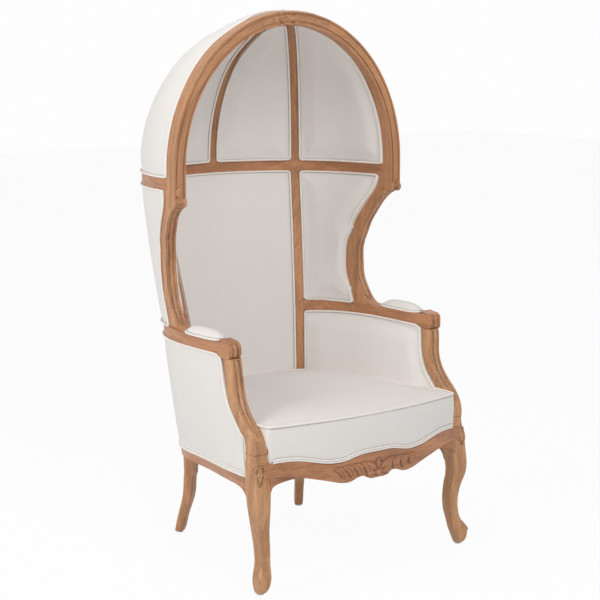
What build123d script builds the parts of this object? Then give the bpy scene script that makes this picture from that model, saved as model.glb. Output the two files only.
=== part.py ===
from build123d import *
from math import acos, cos, hypot, pi, radians, sin
import os

# Hall porter chair: a show-wood armchair with a hooded back, upholstered inside and out.
#
# X is the width, Y runs from the front to the back, and Z is up from the floor. Left and
# right are as seen from in front of the chair. Depths are measured back from the line of
# the front feet, and placed() moves them so that the origin is in the middle of the floor
# space. A wall outline is a list of plan points on the outer face, from the front to the
# rear corner, and an inner face lies square to it, a depth in.

os.makedirs("parts", exist_ok=True)

# Hoop: the arched front of the hood
hoop_top = 1550.0
hoop_spring = 1115.0
hoop_half_width = 408.0
hoop_face = 38.0
hoop_depth = 36.0
hoop_line = 324.0
groove_width = 6.0
groove_depth = 3.5
groove_edge = 5.0
knuckle_radius = 13.0
knuckle_drop = 45.0
knuckle_proud = 5.0

# Body wall: the frame's thickness, with a padded skin on each side of it
wall = 38.0
hood_top_wall = 24.0
cover = 5.0
post_setback = 8.0
pad_crown = 9.0

# Heights
foot_lift = 4.0
seat_level = 306.0
deck = 325.0
leg_joint = 383.0
arm_joint = 628.0
arm_under = 635.0
arm_top = 668.0
hand_top = 677.0
wing_level = 860.0
rail_under = 1063.0
rail_height = 35.0

# Plan of the wall's outer face at the seat, the arms, the wings and the springing rail:
# its front, its rear corner and the middle of the back
seat_front = (378.0, 25.0)
seat_corner = (216.0, 575.0)
seat_back = 594.0
arm_front = (381.0, 106.0)
arm_corner = (231.0, 595.0)
arm_back = 660.0
wing_front = (362.0, 330.0)
wing_mid_front = (372.0, 330.0)
wing_mid_corner = (255.0, 634.0)
hood_back = 770.0
front_reach = 62.0

# Turn of the rear posts from straight back, at the seat and at the springing rail
seat_turn = 31.0
hood_turn = 40.0

# Front legs and arm posts
leg_top = (352.0, 25.5)
knee_width = 50.0
arm_post_top = (359.0, 127.5)
hand_front = 106.5
hand_length = 58.0
hand_proud = 1.5
wood_round = 5.0

# Rear legs, stiles and ribs
post_width = 30.0
rear_leg_width = 34.0
rear_foot_kick = 40.0
rear_foot_width = 27.0
rear_knee_height = 189.0
rib_width = 28.0
crown_block_radius = 50.0
crown_block_thick = 20.0
pad_tip_radius = 64.0
cover_tip_radius = 14.0

# Seat rails
rail_thick = 34.0
front_rail_thick = 28.0
front_rail_low = 275.0
front_rail_height = 83.0
front_rail_end = 8.0
rail_face_front = 319.0
rail_face_rear = 293.0
rail_low_front = 286.0
rail_low_rear = 265.0

# Wing posts
wing_band = 34.0
wing_recess = 148.0

# Seat and arm pads
seat_edge_height = 467.0
seat_front_line = -57.0
seat_crown = 28.0
seat_swell = 3.0
arm_pad_width = 46.0
arm_pad_height = 24.0
arm_pad_front = 167.0
arm_pad_length = 170.0
webbing_width = 50.0
webbing_pitch = 86.0
webbing_thick = 2.0
webbing_across = 7
webbing_along = 6
dust_cover_thick = 1.0

# Fixings
dowel_radius = 4.0
dowel_length = 36.0
front_dowel_drop = 16.0
side_dowel_lift = 12.0
back_dowel_lift = 24.0
corner_dowel_depth = 10.0
wing_dowel_back = 9.0
screw_radius = 2.5
screw_head_radius = 5.0
screw_head = 3.0
screw_rim = 0.5
screw_length = 40.0
glide_radius = 10.0
glide_pin_radius = 2.0
glide_pin_length = 12.0
block_height = 22.0
block_reach = 95.0

# Clearances
glue_gap = 0.1
soft_gap = 0.3
edge_gap = 0.6
seat_gap = 1.5
seam_gap = 0.5
fixing_gap = 0.1
overrun = 40.0

# Along each side, and out from its straight line, as shares of its length
seat_side_shares = ((0, 0), (0.236, 0.031), (0.538, 0.057), (0.842, 0.0735), (1, 0))
arm_side_shares = ((0, 0), (0.28, 0.082), (0.556, 0.146), (0.781, 0.133), (1, 0))
wing_side_shares = ((0, 0), (0.215, 0.099), (0.399, 0.148), (0.598, 0.164), (0.815, 0.123), (1, 0))
wing_mid_shares = ((0, 0), (0.203, 0.072), (0.369, 0.109), (0.572, 0.138), (0.79, 0.127), (1, 0))
hood_side_shares = (1, 0.8, 0.6, 0.4, 0.2, 0)

# Front leg: height, out and back from its top, and width, as shares of its height and width
front_leg_shares = (
    (0, 0.22, -0.56, 0.6),
    (0.035, 0.21, -0.64, 0.78),
    (0.113, 0.1, -0.56, 0.76),
    (0.24, -0.12, -0.3, 0.68),
    (0.364, -0.12, -0.2, 0.72),
    (0.488, 0.02, -0.28, 0.82),
    (0.588, 0.14, -0.38, 0.92),
    (0.689, 0.12, -0.3, 1),
    (0.786, 0.07, -0.2, 1.02),
    (0.887, 0.02, -0.1, 1),
    (1, 0, 0, 0.96),
)

# Arm post: height, out and back as shares of its travel, and width as a share of the knee's
arm_post_shares = (
    (0, 0, 0, 0.96),
    (0.17, 0.57, 0.05, 0.88),
    (0.367, 1.29, 0.46, 0.8),
    (0.56, 0.71, 0.795, 0.76),
    (0.75, 0.57, 0.92, 0.76),
    (1, 1, 1, 0.76),
)

# Rear leg: height, kick outwards, and width, as shares of the knee height, kick and widths
rear_leg_shares = (
    (0, 1, 0.9),
    (0.08, 0.88, 1),
    (0.3, 0.63, 1.03),
    (0.5, 0.34, 1.1),
    (0.75, 0.12, 1.18),
    (1, 0, 1.26),
)

# Wing post in side view: height between arm and rail, and its front and rear edges as
# shares of the wing's recess behind the hoop
wing_post_shares = (
    (0, 0.24, 0.74),
    (0.056, 0.48, 0.79),
    (0.127, 0.61, 0.86),
    (0.2, 0.71, 0.94),
    (0.27, 0.75, 0.98),
    (0.342, 0.77, 0.995),
    (0.415, 0.78, 1),
    (0.486, 0.745, 0.97),
    (0.557, 0.69, 0.91),
    (0.63, 0.635, 0.86),
    (0.7, 0.535, 0.765),
    (0.772, 0.42, 0.65),
    (0.886, 0.05, 0.45),
)
wing_post_head_share = 0.37

# Front rail in front view: place along its half length, and height, as shares
front_rail_top_shares = (
    (0, 0.89), (0.17, 0.867), (0.31, 0.735), (0.425, 0.723),
    (0.57, 0.83), (0.71, 0.964), (0.85, 1), (1, 0.93),
)
front_rail_low_shares = (
    (0, 0.03), (0.085, 0.04), (0.148, 0.17), (0.255, 0.06), (0.355, 0.05),
    (0.47, 0.18), (0.6, 0.325), (0.745, 0.46), (0.905, 0.53), (1, 0.5),
)

# Seat top: place along its depth, and its edge and middle as shares of the crown
seat_top_shares = ((0, -0.15, 0), (0.25, -0.1, 0.6), (0.6, -0.35, 0.45), (1, -0.95, -0.6))

# Seat: height, and how far its front draws in there, as shares
seat_height_shares = ((0, 1), (0.3, 0), (0.6, 0), (1, 2))

# Arm pad: place along it, and its width and height, as shares
arm_pad_shares = ((0, 0.3, 0.2), (0.12, 0.8, 0.7), (0.5, 1, 1), (0.88, 0.8, 0.7), (1, 0.3, 0.2))

# Places along a hood meridian, and round a gore and a cover, where they are drawn, as shares
dome_arc_shares = (0, 0.2, 0.4, 0.6, 0.8, 1)
gore_shares = (0, 0.1, 0.3, 0.5, 0.7, 0.9, 1)
cover_shares = (0, 0.15, 0.3077, 0.45, 0.6154, 0.7, 0.8, 0.9, 1)

# The arm pad's upright side, the hand-hold's roll, the webbing's front end and the corner
# blocks' ends, as shares
pad_side_share = 0.35
hand_roll_share = 0.6
webbing_front_share = 0.6
block_knee_share = 0.8
block_side_share = 0.7
block_back_share = 0.65

# Heights where the wall and the rounded edges of its pads are drawn, as shares
wall_height_shares = (0, 0.14, 0.28, 0.59, 0.87, 1)
pad_edge_shares = (0.07, 0.93)

# Worked out from the sizes above
middle = (hood_back - front_reach) / 2
rail_top = rail_under + rail_height
hoop_foot = rail_under - knuckle_drop
hoop_rise = hoop_top - hoop_spring
hoop_rear = hoop_line + hoop_depth
pole = hoop_line + hoop_depth / 2
hood_radius = hood_back - pole
post_depth = wall - post_setback
side_reach = hoop_half_width + overrun
hood_corner = (hood_radius * sin(radians(hood_turn)), pole + hood_radius * cos(radians(hood_turn)))


def between(low, high, share):
    """The value a share of the way from low to high."""
    return low + (high - low) * share


def placed(point):
    """A plan point moved from the line of the front feet to the chair's own origin."""
    return (point[0], point[1] - middle)


def bowed(start, end, shares):
    """Points from start to end, each out from the straight line by its share."""
    run, rise = end[0] - start[0], end[1] - start[1]
    return [
        (start[0] + run * along + rise * out, start[1] + rise * along - run * out)
        for along, out in shares
    ]


def hood_radius_at(share):
    """The hood's plan radius, from the rear corners at 0 to the hoop at 1."""
    return between(hood_radius, hoop_half_width, (1 - cos(pi * share)) / 2)


def hood_turn_at(share):
    """The angle from straight back, from the rear corners at 0 to the hoop at 1."""
    return between(hood_turn, 90, share)


def around_pole(radius, turn):
    """A plan point on the hood, by its radius and its angle from straight back."""
    return (radius * sin(radians(turn)), pole + radius * cos(radians(turn)))


seat_side = bowed(seat_front, seat_corner, seat_side_shares)
arm_side = bowed(arm_front, arm_corner, arm_side_shares)
wing_side = bowed(wing_front, arm_corner, wing_side_shares)
wing_mid_side = bowed(wing_mid_front, wing_mid_corner, wing_mid_shares)
hood_side = [around_pole(hood_radius_at(s), hood_turn_at(s)) for s in hood_side_shares]

wall_heights = [between(seat_level, rail_under, share) for share in wall_height_shares]
wall_heights += [arm_under, wing_level]
wing_mid_back = between(arm_back, hood_back, (wing_level - arm_under) / (rail_under - arm_under))

arm_levels = ((seat_level, seat_side), (arm_under, arm_side))
wing_levels = ((arm_under, wing_side), (wing_level, wing_mid_side), (rail_under, hood_side))
corner_levels = (
    (seat_level, [seat_corner, (0, seat_back)]),
    (arm_under, [arm_corner, (0, arm_back)]),
    (wing_level, [wing_mid_corner, (0, wing_mid_back)]),
    (rail_under, [hood_corner, (0, hood_back)]),
)


def outline_at(z, levels):
    """The wall's outer face at a height, from the drawn levels on either side of it."""
    for (low_z, low), (high_z, high) in zip(levels, levels[1:]):
        if z <= high_z:
            break
    share = (z - low_z) / (high_z - low_z)
    return [tuple(between(a, b, share) for a, b in zip(p, q)) for p, q in zip(low, high)]


def turn_at(z):
    """The turn of the rear post at a height."""
    return between(seat_turn, hood_turn, (z - seat_level) / (rail_under - seat_level))


def post_centre(corner, turn, depth):
    """The plan centre of a rear post, a depth in from the corner of the wall."""
    return (corner[0] - depth * sin(radians(turn)), corner[1] - depth * cos(radians(turn)))


def inset(points, depth, turn, gap=0, crown=0):
    """A side outline moved in by a depth, and by a crown between its ends.

    Its last point moves along the turn of the rear post, and stops a gap short of it.
    """
    moved = []
    last = len(points) - 1
    for i, (x, y) in enumerate(points[:-1]):
        ahead, behind = points[i + 1], points[max(i - 1, 0)]
        run, rise = ahead[0] - behind[0], ahead[1] - behind[1]
        length = hypot(run, rise)
        move = depth + (crown if i > 0 else 0)
        moved.append(placed((x - rise / length * move, y + run / length * move)))
    x, y = points[last]
    out, along = sin(radians(turn)), cos(radians(turn))
    moved.append(placed((x - out * depth + along * gap, y - along * depth - out * gap)))
    return moved


def side_outline(points, outer, inner, turn, gap=0, crown=0):
    """Draws one side of the wall in plan, between two depths."""
    near = inset(points, outer, turn, gap)
    far = inset(points, inner, turn, gap, crown)
    Spline(*near)
    Line(near[-1], far[-1])
    Spline(*far[::-1])
    Line(far[0], near[0])


def back_outline(points, outer, inner, turn, gap=0, crown=0):
    """Draws the back of the wall in plan, between two depths."""
    (x, y), (_, back) = points
    out, along = sin(radians(turn)), cos(radians(turn))
    ends = [
        placed((x - out * depth - along * gap, y - along * depth + out * gap))
        for depth in (outer, inner)
    ]
    middles = [placed((0, back - outer)), placed((0, back - inner - crown))]
    ThreePointArc(ends[0], middles[0], (-ends[0][0], ends[0][1]))
    Line((-ends[0][0], ends[0][1]), (-ends[1][0], ends[1][1]))
    ThreePointArc((-ends[1][0], ends[1][1]), middles[1], ends[1])
    Line(ends[1], ends[0])


def fullness(share):
    """How full a pad is at a share of the way across it, from 0 at its edges to 1."""
    return 1 - (2 * share - 1) ** 4


def wall_sheet(draw, levels, low, high, outer, inner, gap=0, crown=0):
    """A sheet of the wall between two heights and two depths, crowned if it is a pad."""
    drawn = {z for z in wall_heights if low < z < high} | {low, high}
    if crown:
        drawn |= {between(low, high, share) for share in pad_edge_shares}
    with BuildPart() as sheet:
        for z in sorted(drawn):
            swell = crown * fullness((z - low) / (high - low))
            with BuildSketch(Plane.XY.offset(z)):
                with BuildLine():
                    draw(outline_at(z, levels), outer, inner, turn_at(z), gap, swell)
                make_face()
        loft(ruled=True)
    return sheet.part


def wall_band(draw, points, z, height, outer, inner, turn, gap=0):
    """A level band of the wall, bent in plan as a sawn rail is."""
    with BuildPart() as band:
        with BuildSketch(Plane.XY.offset(z)):
            with BuildLine():
                draw(points, outer, inner, turn, gap)
            make_face()
        extrude(amount=height)
    return band.part


def member(stations, ruled=False):
    """A shaped post through stations of x, y, z, width, depth and turn."""
    with BuildPart() as post:
        for x, y, z, width, depth, turn in stations:
            across = (cos(radians(turn)), -sin(radians(turn)), 0)
            with BuildSketch(Plane(origin=(*placed((x, y)), z), x_dir=across)):
                RectangleRounded(width, depth, wood_round)
        loft(ruled=ruled)
    return post.part


def side_view(edge, amount=side_reach):
    """A block with a side view's outline, from the middle of the chair out to one side."""
    with BuildPart() as block:
        with BuildSketch(Plane.YZ):
            with BuildLine():
                edge()
            make_face()
        extrude(amount=amount)
    return block.part


def save(piece, name):
    """Labels a finished piece and writes it."""
    piece.part.label = name
    export_step(piece.part, f"parts/{name}.step")


def save_pair(piece, name):
    """Writes a right-hand piece and its mirror image."""
    with BuildPart() as left:
        mirror(piece.part, about=Plane.YZ)
    save(piece, name + "_right")
    save(left, name + "_left")


def front_leg_stations():
    """The front leg's centre, height and width, from the foot up."""
    x, y = leg_top
    return [
        (x + out * knee_width, y + back * knee_width, between(foot_lift, leg_joint, up), width * knee_width)
        for up, out, back, width in front_leg_shares
    ]


def arm_post_stations():
    """The arm post's centre, height and width, from the leg up."""
    (x, y), (top_x, top_y) = leg_top, arm_post_top
    rise = arm_joint - leg_joint
    return [
        (between(x, top_x, out), between(y, top_y, back), leg_joint + rise * up, width * knee_width)
        for up, out, back, width in arm_post_shares
    ]


def grown_post(stations, grow):
    """A square post through its stations, larger all round by grow."""
    return member([(x, y, z, width + 2 * grow, width + 2 * grow, 0) for x, y, z, width in stations])


def post_rear_edge(gap):
    """The rear edge of the front leg and arm post in side view, clear by a gap."""
    stations = front_leg_stations()[6:-1] + arm_post_stations()
    return [(y + width / 2 + gap - middle, z) for _, y, z, width in stations]


def wing_edges(gap=0):
    """The wing post's front and rear edges in side view, from the arm up."""
    rise, line = rail_under - arm_top, hoop_line - middle
    front = [(line + ahead * wing_recess, arm_top + up * rise) for up, ahead, _ in wing_post_shares]
    rear = [(line + behind * wing_recess + gap, arm_top + up * rise) for up, _, behind in wing_post_shares]
    rear += [(line + wing_post_head_share * wing_recess + gap, rail_under)]
    return front, rear


behind = hood_back + overrun - middle


def rail_line(front, rear, gap=0):
    """A sloping line of the side rail in side view, from the front of the chair to the back."""
    ends = (-front_reach - overrun, hood_back + overrun)
    length = seat_corner[1] - seat_front[1]
    return [(y - middle, between(front, rear, (y - seat_front[1]) / length) + gap) for y in ends]


def above_line(front, rear, top):
    """Draws the region between a sloping line and a height in side view."""
    Polyline(front, rear, (rear[0], top), (front[0], top), close=True)


def behind_arm_post():
    """Draws the region behind the leg and arm post in side view."""
    edge = post_rear_edge(edge_gap)
    Spline(*edge)
    Polyline(edge[-1], (edge[-1][0], arm_top), (behind, arm_top), (behind, edge[0][1]), edge[0])


def behind_wing_post():
    """Draws the region behind the wing post in side view."""
    _, rear = wing_edges(edge_gap)
    Spline(*rear)
    Polyline(rear[-1], (behind, rear[-1][1]), (behind, rear[0][1]), rear[0])


def behind_hoop(gap):
    """The region behind the hoop in side view."""
    low, high = (hoop_rear + gap - middle, 0), (behind, hoop_top + overrun)

    def edge():
        Polyline(low, (high[0], low[1]), high, (low[0], high[1]), close=True)

    return edge


def wing_side_view():
    """Draws the wing post in side view, with its head notched under the hoop."""
    front, rear = wing_edges()
    back_of_hoop = hoop_rear + glue_gap - middle
    Spline(*front)
    Polyline(front[-1], (back_of_hoop, hoop_foot), (back_of_hoop, rail_under), rear[-1])
    Spline(*rear[::-1])
    Line(rear[0], front[0])


def hand_side(drop=0):
    """Draws the arm and its hand-hold in side view, with its underside lower by a clearance."""
    front, back = hand_front - middle, hand_front + hand_length - middle
    nose = (hand_top - arm_joint) / 2
    low, under = arm_joint - drop, arm_under - drop
    toe = front + nose / 4
    brow = (front + nose, hand_top - nose / 8)
    Line((toe, low), (back - nose, low))
    Spline((back - nose, low), (back - nose / 4 + drop, between(low, under, hand_roll_share)),
           (back + drop, under))
    Polyline((back + drop, under), (behind, under), (behind, arm_top), (back, arm_top))
    Spline((back, arm_top), (back - nose, between(arm_top, hand_top, hand_roll_share)),
           (front + 2 * nose, hand_top), brow)
    ThreePointArc(brow, (front, between(low, hand_top, hand_roll_share)), (toe, low))


def bore(part_dowels):
    """Bores the dowel holes in the piece being made."""
    for centre, direction in part_dowels:
        with Locations(Plane(origin=centre, z_dir=direction)):
            Cylinder(dowel_radius + fixing_gap, dowel_length + 2 * fixing_gap, mode=Mode.SUBTRACT)


def both(dowel):
    """A dowel or screw and its mirror image."""
    (x, y, z), (i, j, k) = dowel
    return [dowel, ((-x, y, z), (-i, j, k))]


def screw_form(gap, above):
    """A countersunk screw along Z, larger all round by a gap, reaching above its head."""
    head, shank = screw_head_radius + gap, screw_radius + gap
    low, end = screw_head + gap, screw_length + gap
    with BuildPart() as form:
        with BuildSketch(Plane.XZ):
            with BuildLine():
                Polyline((0, -above), (head, -above), (head, 0), (shank, low), (shank, end), (0, end),
                         close=True)
            make_face()
        revolve(axis=Axis.Z)
    return form.part


def sink(part_screws):
    """Bores the screw holes, with room for the heads, in the piece being made."""
    for centre, direction in part_screws:
        add(Plane(origin=centre, z_dir=direction) * screw_form(fixing_gap, overrun), mode=Mode.SUBTRACT)


def centre_of(points):
    """The middle of a block's long side."""
    return ((points[0][0] + points[-1][0]) / 2, (points[0][1] + points[-1][1]) / 2)


def block_screw(points, target):
    """A screw's head centre and direction, from a block's long side towards its leg."""
    x, y = centre_of(points)
    run, rise = target[0] - x, target[1] - y
    length = hypot(run, rise)
    return ((x, y, block_low + block_height / 2), (run / length, rise / length, 0))


def by_post(corner, turn, depth, sideways, z):
    """A point near a rear post: a depth in from the corner, and sideways towards the front."""
    out, along = sin(radians(turn)), cos(radians(turn))
    x, y = placed((corner[0] - out * depth + along * sideways, corner[1] - along * depth - out * sideways))
    return (x, y, z)


def along_post(turn):
    """The level direction across a rear post."""
    return (cos(radians(turn)), -sin(radians(turn)), 0)


webbing_top = deck + 2 * webbing_thick
pad_low = webbing_top + soft_gap
pad_high = rail_under - soft_gap
rail_start = rail_low_rear - overrun
rebate_half = leg_top[0] - knee_width

# Dowels on the right-hand side, each by its centre and its direction
leg_x, leg_y = placed(leg_top)
upright = (0, 0, 1)
seat_dowel_z = (rail_low_rear + deck) / 2
side_dowel_x = inset(seat_side, rail_thick / 2, seat_turn)[0][0]
rail_dowel_z = rail_top - 2 * dowel_radius
arm_dowel_z = (arm_under + arm_top) / 2
knee_half = knee_width / 2
post_side = post_width / 2
leg_side = rear_leg_width / 2
post_mid = post_setback + post_depth / 2
crown_z = (hoop_top + hoop_top - hoop_face) / 2
wing_foot = inset(wing_side, wing_band / 2, hood_turn)[1]
wing_head_y = placed((0, hoop_rear + wing_dowel_back))[1]
hoop_mid_x = hoop_half_width - hoop_face / 2
arm_turn = turn_at(arm_dowel_z)
hand_x = arm_front[0] - wall / 2 + hand_proud
hand_width = wall + 2 * hand_proud

front_dowel_y = placed((0, front_rail_thick / 2 - front_rail_end - dowel_radius))[1]
front_dowel_z = (deck + leg_joint) / 2 - front_dowel_drop

front_rail_dowel = ((leg_x - knee_half, front_dowel_y, front_dowel_z), (1, 0, 0))
side_rail_dowel = ((side_dowel_x, leg_y + knee_half, seat_dowel_z + 2 * dowel_radius), (0, 1, 0))
rail_post_dowel = (
    by_post(seat_corner, seat_turn, rail_thick / 2, leg_side, rail_low_rear + side_dowel_lift),
    along_post(seat_turn),
)
back_post_dowel = (
    by_post(seat_corner, seat_turn, rail_thick / 2, -leg_side, rail_low_rear + back_dowel_lift),
    along_post(seat_turn),
)
knee_dowel = ((leg_x, leg_y, leg_joint), upright)
hand_dowel = ((*placed(arm_post_top), arm_joint), upright)
wing_foot_dowel = ((wing_foot[0], wing_foot[1], arm_top), upright)
wing_head_dowel = ((hoop_mid_x, wing_head_y, rail_under), upright)
hoop_dowel = ((hoop_mid_x, hoop_rear - middle, rail_dowel_z), (0, 1, 0))
corner_dowel = (by_post(hood_corner, hood_turn, corner_dowel_depth, 0, rail_dowel_z), along_post(hood_turn))
stile_dowel = (by_post(hood_corner, hood_turn, post_mid, -2 * dowel_radius, rail_under), upright)
rib_dowel = (by_post(hood_corner, hood_turn, post_mid, 2 * dowel_radius, rail_top), upright)
arm_dowel = (by_post(arm_corner, arm_turn, post_mid, post_side, arm_dowel_z), along_post(arm_turn))
crown_dowel = ((crown_block_radius / 2, hoop_rear - middle, crown_z), (0, 1, 0))
centre_rib_dowel = ((0, hood_back - post_mid - middle, rail_top), upright)
hoop_top_dowel = ((0, pole - middle, crown_z), (1, 0, 0))

# Corner blocks inside the seat frame in plan, each with a screw into its leg
block_low = deck - block_height
side_mid = inset(seat_side, rail_thick / 2, seat_turn)
rear_centre = placed(post_centre(seat_corner, seat_turn, post_mid))
front_block = [
    (leg_x - block_reach, placed((0, -front_reach / 2))[1] + front_rail_thick / 2),
    (leg_x, leg_y - knee_half * block_knee_share),
    (between(side_mid[0][0], side_mid[1][0], block_side_share), leg_y + block_reach),
]
rear_block = [
    side_mid[-2],
    rear_centre,
    placed((seat_corner[0] - block_reach,
            between(seat_corner[1], seat_back, block_back_share) - rail_thick / 2)),
]
front_screw = block_screw(front_block, (leg_x, leg_y))
rear_screw = block_screw(rear_block, rear_centre)


# Front legs, each with a shaped knee and a toe turned out
with BuildPart() as front_leg:
    add(grown_post(front_leg_stations(), 0))
    bore([front_rail_dowel, side_rail_dowel, knee_dowel])
    sink([front_screw])
    with Locations((front_leg_stations()[0][0], front_leg_stations()[0][1] - middle, foot_lift)):
        Cylinder(glide_pin_radius + fixing_gap, 2 * glide_pin_length, mode=Mode.SUBTRACT)
save_pair(front_leg, "front_leg")

with BuildPart() as front_leg_space:
    add(grown_post(front_leg_stations(), glue_gap))
with BuildPart() as arm_post_space:
    add(grown_post(arm_post_stations(), soft_gap))
with BuildPart() as leg_soft_space:
    add(grown_post(front_leg_stations(), soft_gap))

# Arm posts, swept back from the knees to the hand-holds
with BuildPart() as arm_post:
    add(grown_post(arm_post_stations(), 0))
    bore([knee_dowel, hand_dowel])
save_pair(arm_post, "arm_post")

# Rear legs, sawn in one piece with the stiles that carry the hood
def stile_stations(grow=0, deepen=0):
    """The stile's stations, from the covers' lower edge to the springing rail."""
    heights = (rail_face_rear, seat_level, arm_under, wing_level, rail_under)
    return [
        (*post_centre(outline_at(z, corner_levels)[0], turn_at(z), post_mid), z,
         post_width + 2 * grow, post_depth + 2 * grow + 2 * deepen, turn_at(z))
        for z in heights
    ]


def rear_leg_stations():
    """The rear leg's stations, from the foot up to the covers' lower edge."""
    x, y = post_centre(seat_corner, seat_turn, wall / 2)
    turn = radians(seat_turn)
    return [
        (x + sin(turn) * kick * rear_foot_kick, y + cos(turn) * kick * rear_foot_kick,
         between(foot_lift, rear_knee_height, up), rear_foot_width * width, rear_foot_width * width,
         seat_turn)
        for up, kick, width in rear_leg_shares
    ]


with BuildPart() as rear_post:
    add(member(rear_leg_stations()))
    knee = rear_leg_stations()[-1]
    knee_centre = post_centre(seat_corner, seat_turn, wall / 2)
    head_centre = post_centre(outline_at(rail_face_rear, corner_levels)[0], seat_turn, wall / 2)
    add(member([
        knee,
        (*knee_centre, rail_low_rear - overrun / 2, rear_leg_width, wall, seat_turn),
        (*head_centre, rail_face_rear, rear_leg_width, wall, seat_turn),
    ], ruled=True))
    add(member(stile_stations(), ruled=True))
    add(wall_sheet(back_outline, corner_levels, rail_face_rear, rail_under + overrun, -overrun,
                   cover + soft_gap), mode=Mode.SUBTRACT)
    bore([rail_post_dowel, back_post_dowel, stile_dowel, arm_dowel])
    sink([rear_screw])
    with Locations((rear_leg_stations()[0][0], rear_leg_stations()[0][1] - middle, foot_lift)):
        Cylinder(glide_pin_radius + fixing_gap, 2 * glide_pin_length, mode=Mode.SUBTRACT)
save_pair(rear_post, "rear_post")

with BuildPart() as stile_slot:
    add(member(stile_stations(soft_gap, wall), ruled=True))
with BuildPart() as rear_leg_slot:
    slot_width, slot_depth = rear_leg_width + 2 * glue_gap, 2 * wall + overrun
    add(member([
        (*knee_centre, rail_low_rear - overrun, slot_width, slot_depth, seat_turn),
        (*head_centre, deck + overrun, slot_width, slot_depth, seat_turn),
    ], ruled=True))

# Front rail: bowed in plan, with a waved top and a shaped lower edge
def front_plan(ahead, back):
    """Draws the front rail's bow in plan, between two setbacks from its face."""
    half = leg_top[0]
    for setback in (ahead, back):
        y = setback - front_rail_end
        ThreePointArc(placed((-half, y)), placed((0, setback - front_reach)), placed((half, y)))
    for x in (-half, half):
        Line(placed((x, ahead - front_rail_end)), placed((x, back - front_rail_end)))


def front_rebate(clear):
    """The seat's room behind the upper half of the front rail, smaller by a clearance."""
    with BuildPart() as room:
        with BuildSketch(Plane.XY.offset(deck)):
            with BuildLine():
                front_plan(front_rail_thick / 2 + clear, front_rail_thick + overrun)
            make_face()
            with Locations(placed((0, 0))):
                Rectangle(2 * (rebate_half - clear), 2 * hood_back, mode=Mode.INTERSECT)
        extrude(amount=leg_joint - deck + overrun)
    return room.part


with BuildPart() as front_rail:
    with BuildSketch(Plane.XY):
        with BuildLine():
            front_plan(0, front_rail_thick)
        make_face()
    extrude(amount=leg_joint)
    with BuildSketch(Plane.XZ.offset(middle + hood_back)):
        with BuildLine():
            for shares in (front_rail_top_shares, front_rail_low_shares):
                half = [(leg_top[0] * a, front_rail_low + front_rail_height * h) for a, h in shares]
                Spline(*[(-x, z) for x, z in half[:0:-1]], *half)
            for side in (-1, 1):
                top, low = front_rail_top_shares[-1][1], front_rail_low_shares[-1][1]
                Line((side * leg_top[0], front_rail_low + front_rail_height * top),
                     (side * leg_top[0], front_rail_low + front_rail_height * low))
        make_face()
    extrude(amount=-2 * (middle + hood_back), mode=Mode.INTERSECT)
    add(front_rebate(0), mode=Mode.SUBTRACT)
    add(front_leg_space.part, mode=Mode.SUBTRACT)
    mirror(front_leg_space.part, about=Plane.YZ, mode=Mode.SUBTRACT)
    bore(both(front_rail_dowel))
save(front_rail, "front_rail")

# Side rails, with a tongue behind the outer arm cover
with BuildPart() as side_rebate:
    add(wall_sheet(side_outline, arm_levels, rail_start, deck + overrun, -overrun, cover + soft_gap))
    add(side_view(lambda: above_line(*rail_line(rail_face_front, rail_face_rear), deck + overrun)),
        mode=Mode.INTERSECT)
with BuildPart() as side_rail:
    add(wall_sheet(side_outline, arm_levels, rail_start, deck, 0, rail_thick))
    add(side_view(lambda: above_line(*rail_line(rail_low_front, rail_low_rear), deck)), mode=Mode.INTERSECT)
    add(side_rebate.part, mode=Mode.SUBTRACT)
    add(front_leg_space.part, mode=Mode.SUBTRACT)
    add(rear_leg_slot.part, mode=Mode.SUBTRACT)
    bore([side_rail_dowel, rail_post_dowel])
save_pair(side_rail, "side_rail")

# Back rail, with the same tongue behind the outer back cover
with BuildPart() as back_rail:
    add(wall_sheet(back_outline, corner_levels, rail_low_rear, deck, 0, rail_thick))
    add(wall_sheet(back_outline, corner_levels, rail_face_rear, deck + overrun, -overrun, cover + soft_gap),
        mode=Mode.SUBTRACT)
    add(rear_leg_slot.part, mode=Mode.SUBTRACT)
    mirror(rear_leg_slot.part, about=Plane.YZ, mode=Mode.SUBTRACT)
    bore(both(back_post_dowel))
save(back_rail, "back_rail")

# Arms, from the hand-holds back past the wing posts to the stiles
with BuildPart() as rear_post_space:
    add(member(stile_stations(glue_gap), ruled=True))
with BuildPart() as arm:
    add(wall_band(side_outline, arm_side, arm_under, arm_top - arm_under, 0, wall, arm_turn,
                  gap=seam_gap / 2))
    with BuildSketch(Plane.XY.offset(arm_joint)):
        with Locations(placed((hand_x, hand_front + hand_length / 2))):
            RectangleRounded(hand_width, hand_length, wood_round)
    extrude(amount=hand_top - arm_joint)
    with BuildSketch(Plane.YZ):
        with BuildLine():
            hand_side()
        make_face()
    extrude(amount=side_reach, mode=Mode.INTERSECT)
    add(rear_post_space.part, mode=Mode.SUBTRACT)
    bore([hand_dowel, wing_foot_dowel, arm_dowel])
save_pair(arm, "arm")

# Wing posts, sawn to an S in side view and to the wall's curve in plan
with BuildPart() as wing_post:
    add(wall_sheet(side_outline, wing_levels, arm_top, rail_under, 0, wing_band))
    add(side_view(wing_side_view), mode=Mode.INTERSECT)
    bore([wing_foot_dowel, wing_head_dowel])
save_pair(wing_post, "wing_post")


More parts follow.
